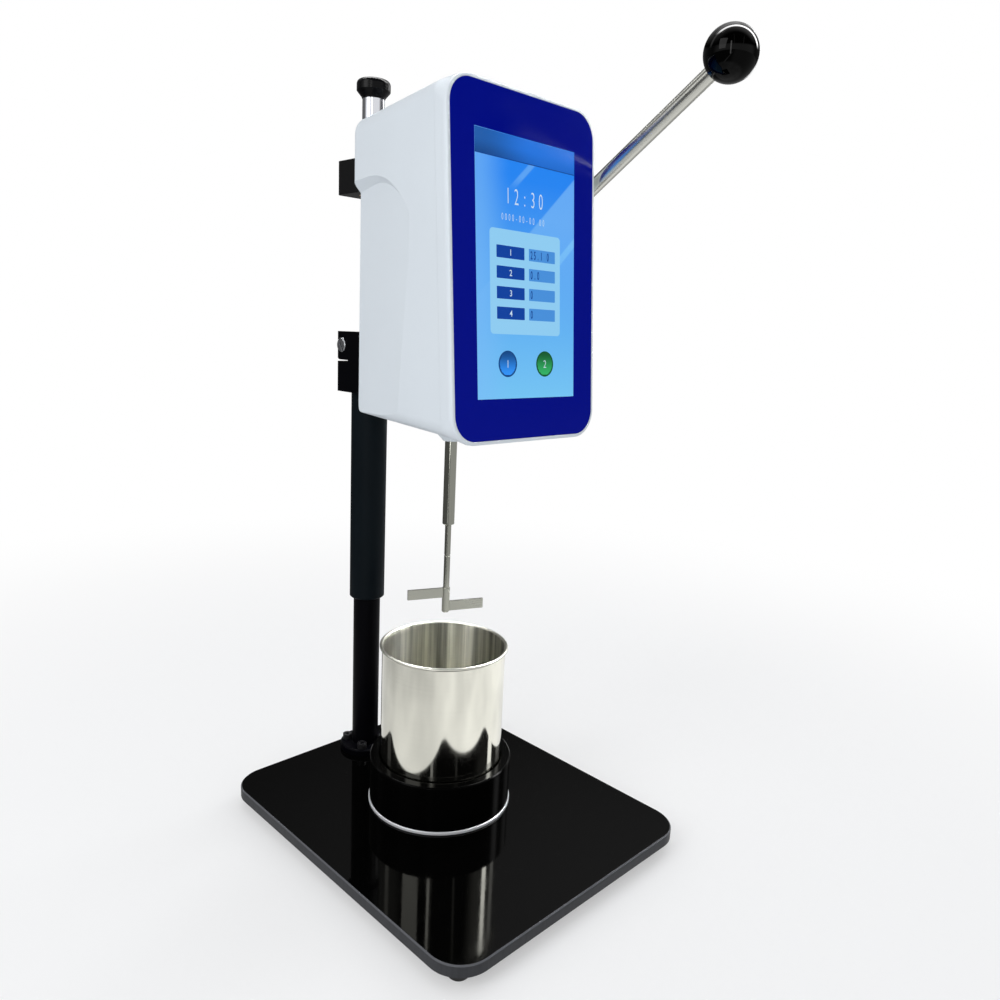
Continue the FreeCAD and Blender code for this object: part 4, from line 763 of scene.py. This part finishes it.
class VISCOMETER_OT_finishes(Operator):
    """Gives every machined, moulded or turned piece its finish"""
    bl_idname = "viscometer.finishes"
    bl_label = "Finishes"

    def execute(self, context):
        finish = context.scene.viscometer_finish
        screen = context.scene.viscometer_screen
        shell = moulded_plastic("white_moulding", finish.shell, roughness=0.38, grain=finish.grain,
                                gloss=0.1, edge=SHELL_EDGE)
        overlay = moulded_plastic("blue_overlay", finish.overlay, roughness=0.16, grain=0.02,
                                  edge=FINE_EDGE, specular=0.07, grain_scale=900.0)
        black_metal = anodised("black_anodised", finish.black, roughness=0.36, specular=0.04)
        block = anodised("block_anodised", finish.block, roughness=0.4, specular=0.12)
        sleeve = anodised("sleeve_anodised", finish.sleeve, roughness=0.42, specular=0.08)
        plate = gloss_paint("black_plate", finish.plate, roughness=0.03, specular=0.07,
                            side=finish.plate_side)
        holder = gloss_paint("holder_black", finish.plate, roughness=0.14, specular=0.04)
        black_plastic = moulded_plastic("black_moulding", paint(5, 5, 7), roughness=0.22,
                                        grain=finish.grain, specular=0.14)
        knob = moulded_plastic("black_knob", paint(1, 1, 1), roughness=0.04, grain=0.0, edge=0.0,
                               specular=0.11)
        lever = turned_metal("polished_lever", paint(212, 212, 204), roughness=0.24,
                             stretch=(40.0, 40.0, 40.0), relief=0.0, variation=0.05)
        chrome = turned_metal("chrome", paint(226, 228, 234), roughness=0.08,
                              stretch=(60.0, 60.0, 90.0), relief=0.0, variation=0.04)
        spindle = turned_metal("ground_spindle", finish.spindle, roughness=0.09,
                               stretch=(2000.0, 2000.0, 20.0), relief=0.02, edge=FINE_EDGE)
        paddle = turned_metal("satin_paddle", finish.spindle, roughness=0.3,
                              stretch=(60.0, 60.0, 2200.0), relief=0.05, edge=FINE_EDGE)
        lathe_rings = (60.0, 60.0, 1800.0)
        ring = turned_metal("matt_aluminium", paint(226, 228, 232), roughness=0.4,
                            stretch=lathe_rings, relief=0.06, edge=FINE_EDGE, metallic=0.35)
        turned = turned_metal("turned_aluminium", paint(198, 200, 204), roughness=0.3,
                              stretch=lathe_rings, relief=0.08, edge=FINE_EDGE)
        zinc = turned_metal("zinc_plate", paint(176, 178, 182), roughness=0.3,
                            stretch=(400.0, 400.0, 400.0), relief=0.08, edge=FINE_EDGE)
        dark_steel = anodised("black_oxide", paint(22, 22, 24), roughness=0.4, specular=0.3)
        brass = turned_metal("machined_brass", paint(206, 170, 98), roughness=0.28,
                             stretch=(40.0, 40.0, 2000.0), relief=0.08)
        sheet = turned_metal("plated_sheet", paint(180, 182, 186), roughness=0.34,
                             stretch=(1400.0, 40.0, 40.0), relief=0.08)
        gear = turned_metal("milled_steel", paint(150, 150, 152), roughness=0.32,
                            stretch=(40.0, 900.0, 900.0), relief=0.08)
        can = moulded_plastic("motor_can", paint(70, 71, 74), roughness=0.35, grain=0.03)
        nylon = moulded_plastic("white_nylon", paint(226, 225, 216), roughness=0.45, grain=0.05)
        low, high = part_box("sample_cup")
        polished = brushed_cup("polished_cup", finish.steel, (low + high) / 2, (high.z - low.z) / 2)
        groups = {
            shell: ["housing_shell", "front_frame", "nose_ring"],
            overlay: ["front_panel"],
            display_picture(screen): ["display_screen"],
            black_metal: ["column_flange", "column_tube", "lower_slide_block"],
            block: ["upper_slide_block"],
            sleeve: ["column_sleeve"],
            plate: ["base_plate"],
            holder: ["cup_holder"],
            black_plastic: ["rod_cap", "switch_body", "power_rocker", "dc_inlet"],
            knob: ["ball_knob"],
            chrome: ["guide_rod", "lever_hub", "pivot_shaft"],
            lever: ["lever_rod"],
            polished: ["sample_cup"],
            spindle: ["drive_spindle", "paddle_shaft", "motor_shaft", "spindle_bearings"],
            paddle: ["paddle_blades"],
            ring: ["locating_ring"],
            turned: ["shaft_housing", "bearing_housing", "shaft_coupling"],
            zinc: ["foot_screws", "column_bolt", "holder_screws", "frame_screws", "board_screws",
                   "clamp_screw", "inlet_pin", "inlet_nut", "gear_pin"],
            dark_steel: ["flange_screws", "block_screws", "boss_screws", "motor_screws", "retaining_ring",
                         "hub_screw", "chuck_screw"],
            brass: ["board_spacers", "upper_bush", "lower_bush", "pivot_bushes", "switch_terminals"],
            sheet: ["chassis"],
            gear: ["sector_gear"],
            can: ["drive_motor"],
            nylon: ["thrust_washer"],
            rubber("black_rubber", paint(20, 20, 21)): ["rubber_feet"],
            board_laminate("board_laminate"): ["display_board", "main_board"],
        }
        dressed = set()
        for material, nodes in groups.items():
            for name in nodes:
                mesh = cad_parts[name].data
                mesh.materials.clear()
                mesh.materials.append(material)
                dressed.add(name)
        bare = sorted(set(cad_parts) - dressed)
        if bare:
            raise RuntimeError("these pieces have no finish: " + ", ".join(bare))
        return {"FINISHED"}


# Stage

def floor_finish(tone):
    """Pale floor that turns into the white background away from the object and keeps its shadow."""
    material, tree, output = empty_material("pale_floor")
    diffuse = add_node(tree, "ShaderNodeBsdfDiffuse")
    cloud = noise(tree, place(tree), 3.0, 2.0)
    tint = blend_colours(tree, cloud, scaled(tone, 0.99), scaled(tone, 1.01))
    tree.links.new(tint, diffuse.inputs["Color"])
    away = length_of(tree, place(tree))
    rays = add_node(tree, "ShaderNodeLightPath")
    glossy = rays.outputs["Is Glossy Ray"]
    dimmed = maths(tree, "MULTIPLY", glossy, maths(tree, "SUBTRACT", 1.0, mirrored_level(tree, away)))
    level = maths(tree, "SUBTRACT", 1.0, dimmed)
    white = add_node(tree, "ShaderNodeEmission", {"Color": WHITE, "Strength": level})
    open_share = spread(tree, away, 0.4, 1.0, 0.3, 1.0, "SMOOTHSTEP")
    camera_share = maths(tree, "MULTIPLY", seen_directly(tree, rays), open_share)
    share = maths(tree, "ADD", camera_share, glossy, clamp=True)
    mix = add_node(tree, "ShaderNodeMixShader", {0: share, 1: diffuse.outputs[0], 2: white.outputs[0]})
    tree.links.new(mix.outputs[0], output.inputs["Surface"])
    return material


def mirrored_level(tree, away):
    """How bright the floor is in a reflection: uneven near the object, dim with a lit band far off."""
    side = towards(tree, place(tree), TO_RIGHT)
    uneven = spread(tree, noise(tree, place(tree), 5.0, 2.0), 0.8, 1.1, 0.35, 0.65)
    near = maths(tree, "MULTIPLY", spread(tree, side, 0.55, 0.9, -0.3, 0.1), uneven)
    far = spread(tree, side, 0.1, 0.42, -0.2, 0.2, "SMOOTHSTEP")
    far = maths(tree, "ADD", far, band(tree, side, -0.31, -0.25, 0.02, 1.1))
    distance = spread(tree, away, 0.0, 1.0, 0.4, 0.6, "SMOOTHSTEP")
    change = maths(tree, "MULTIPLY", distance, maths(tree, "SUBTRACT", far, near))
    return maths(tree, "ADD", near, change)


def seen_directly(tree, rays):
    """1 for a ray from the camera, also through glass, and 0 for any other."""
    camera, through = rays.outputs["Is Camera Ray"], rays.outputs["Is Transmission Ray"]
    return maths(tree, "ADD", camera, through, clamp=True)


def room_light(world, strength):
    """White room with even light, and a mirrored room of its own for reflections."""
    world.use_nodes = True
    tree = world.node_tree
    tree.nodes.clear()
    output = tree.nodes.new("ShaderNodeOutputWorld")
    rays = add_node(tree, "ShaderNodeLightPath")
    glossy = rays.outputs["Is Glossy Ray"]
    seen = seen_directly(tree, rays)
    even = maths(tree, "MULTIPLY", maths(tree, "SUBTRACT", 1.0, glossy), strength)
    level = maths(tree, "ADD", maths(tree, "MULTIPLY", glossy, mirrored_room(tree)), even)
    level = maths(tree, "ADD", maths(tree, "MULTIPLY", level, maths(tree, "SUBTRACT", 1.0, seen)), seen)
    background = add_node(tree, "ShaderNodeBackground", {"Color": WHITE, "Strength": level})
    tree.links.new(background.outputs[0], output.inputs["Surface"])


def mirrored_room(tree):
    """What reflections see: a bright front and ceiling, two windows, a dim rear and a lit arch."""
    direction = add_node(tree, "ShaderNodeTexCoord").outputs["Generated"]
    height = add_node(tree, "ShaderNodeSeparateXYZ", {0: direction}).outputs["Z"]
    ahead = towards(tree, direction, TO_CAMERA)
    side = towards(tree, direction, TO_RIGHT)
    high = spread(tree, height, 0.0, 1.0, 0.28, 0.4, "SMOOTHSTEP")
    front = maths(tree, "MULTIPLY", spread(tree, ahead, 0.14, 0.9, -0.1, 0.4, "SMOOTHSTEP"),
                  spread(tree, high, 1.0, 0.02))
    ceiling = maths(tree, "MULTIPLY", spread(tree, height, 0.0, 0.85, 0.35, 0.8, "SMOOTHSTEP"),
                    spread(tree, ahead, 1.0, 0.02, -0.1, 0.3, "SMOOTHSTEP"))
    ceiling = maths(tree, "MULTIPLY", ceiling, spread(tree, side, 0.6, 1.7, -0.35, 0.35))
    gloss = maths(tree, "MAXIMUM", front, ceiling)
    windows = maths(tree, "ADD", band(tree, side, -0.12, -0.08, 0.02, 0.4),
                    band(tree, side, 0.45, 0.49, 0.02, 0.6))
    windows = maths(tree, "MULTIPLY", windows, spread(tree, ahead, 0.0, 1.0, 0.3, 0.5))
    gloss = maths(tree, "ADD", gloss, maths(tree, "MULTIPLY", windows, high))
    arch = maths(tree, "MULTIPLY", band(tree, ahead, -0.46, -0.3, 0.03, 1.0),
                 spread(tree, height, 0.0, 1.0, 0.25, 0.45, "SMOOTHSTEP"))
    arch = maths(tree, "MULTIPLY", arch, spread(tree, side, 1.1, ARCH_GLARE, -0.62, -0.4, "SMOOTHSTEP"))
    return maths(tree, "ADD", gloss, arch)


def soft_lamp(name, spot, width, height, energy):
    """Soft rectangular lamp that faces the middle of the object."""
    deselect_all()
    bpy.ops.object.light_add(type="AREA", location=spot)
    lamp = bpy.context.view_layer.objects.active
    lamp.name = name
    lamp.data.shape = "RECTANGLE"
    lamp.data.size = width
    lamp.data.size_y = height
    lamp.data.energy = energy
    lamp.rotation_euler = (Vector(LAMP_TARGET) - Vector(spot)).to_track_quat("-Z", "Y").to_euler()
    lamp.visible_camera = False


def fitted_camera():
    """Camera at its place, turned by its azimuth, elevation and roll."""
    camera_data = bpy.data.cameras.new("camera")
    camera = bpy.data.objects.new("camera", camera_data)
    camera_data.sensor_width = CAMERA_SENSOR
    camera_data.lens = CAMERA_LENS
    camera_data.clip_start = 0.01
    camera_data.clip_end = 100.0
    azimuth, elevation, roll = (math.radians(value) for value in CAMERA_ANGLES)
    back = Vector((math.sin(azimuth) * math.cos(elevation), -math.cos(azimuth) * math.cos(elevation),
                   math.sin(elevation)))
    level = Vector((0.0, 0.0, 1.0)).cross(back).normalized()
    upright = back.cross(level)
    right = level * math.cos(roll) + upright * math.sin(roll)
    up = upright * math.cos(roll) - level * math.sin(roll)
    turn = Matrix((right, up, back)).transposed().to_4x4()
    camera.matrix_world = Matrix.Translation(Vector(CAMERA_PLACE) * MM) @ turn
    return camera


class VISCOMETER_OT_stage(Operator):
    """Sets up the pale floor, the soft lamps and the camera"""
    bl_idname = "viscometer.stage"
    bl_label = "Stage"

    def execute(self, context):
        stage = context.scene.viscometer_stage
        deselect_all()
        bpy.ops.mesh.primitive_plane_add(size=stage.floor_size, location=(0.0, 0.0, -FLOOR_DROP))
        floor = active_piece("stage_floor")
        bpy.ops.object.transform_apply(location=True, rotation=False, scale=False)
        floor.data.materials.append(floor_finish(stage.floor))

        world = context.scene.world or bpy.data.worlds.new("room")
        context.scene.world = world
        room_light(world, stage.sky)
        for name, spot, width, height in LAMPS:
            soft_lamp(name + "_lamp", spot, width, height, getattr(stage, name + "_power"))

        camera = fitted_camera()
        context.scene.collection.objects.link(camera)
        context.scene.camera = camera
        context.scene.view_settings.view_transform = "Standard"
        return {"FINISHED"}


class VISCOMETER_PT_panel(Panel):
    bl_label = "Paint Viscometer"
    bl_idname = "VISCOMETER_PT_panel"
    bl_space_type = "VIEW_3D"
    bl_region_type = "UI"
    bl_category = "Viscometer"

    def draw(self, context):
        scene = context.scene
        for title, settings in (("Finishes", scene.viscometer_finish),
                                ("Display", scene.viscometer_screen),
                                ("Stage", scene.viscometer_stage)):
            box = self.layout.box()
            box.label(text=title)
            for name in settings.__annotations__:
                box.prop(settings, name)
        for operator in OPERATORS:
            self.layout.operator(operator.bl_idname)


OPERATORS = (VISCOMETER_OT_stage, VISCOMETER_OT_finishes, VISCOMETER_OT_title_bar, VISCOMETER_OT_clock,
             VISCOMETER_OT_readings, VISCOMETER_OT_keys)
CLASSES = (ViscometerFinish, ViscometerScreen, ViscometerStage) + OPERATORS + (VISCOMETER_PT_panel,)


def register():
    for item in CLASSES:
        bpy.utils.register_class(item)
    bpy.types.Scene.viscometer_finish = PointerProperty(type=ViscometerFinish)
    bpy.types.Scene.viscometer_screen = PointerProperty(type=ViscometerScreen)
    bpy.types.Scene.viscometer_stage = PointerProperty(type=ViscometerStage)


def unregister():
    del bpy.types.Scene.viscometer_stage
    del bpy.types.Scene.viscometer_screen
    del bpy.types.Scene.viscometer_finish
    for item in reversed(CLASSES):
        bpy.utils.unregister_class(item)


def main():
    register()
    bpy.ops.viscometer.stage()
    bpy.ops.viscometer.finishes()
    bpy.ops.viscometer.title_bar()
    bpy.ops.viscometer.clock()
    bpy.ops.viscometer.readings()
    bpy.ops.viscometer.keys()


if __name__ == "__main__":
    main()
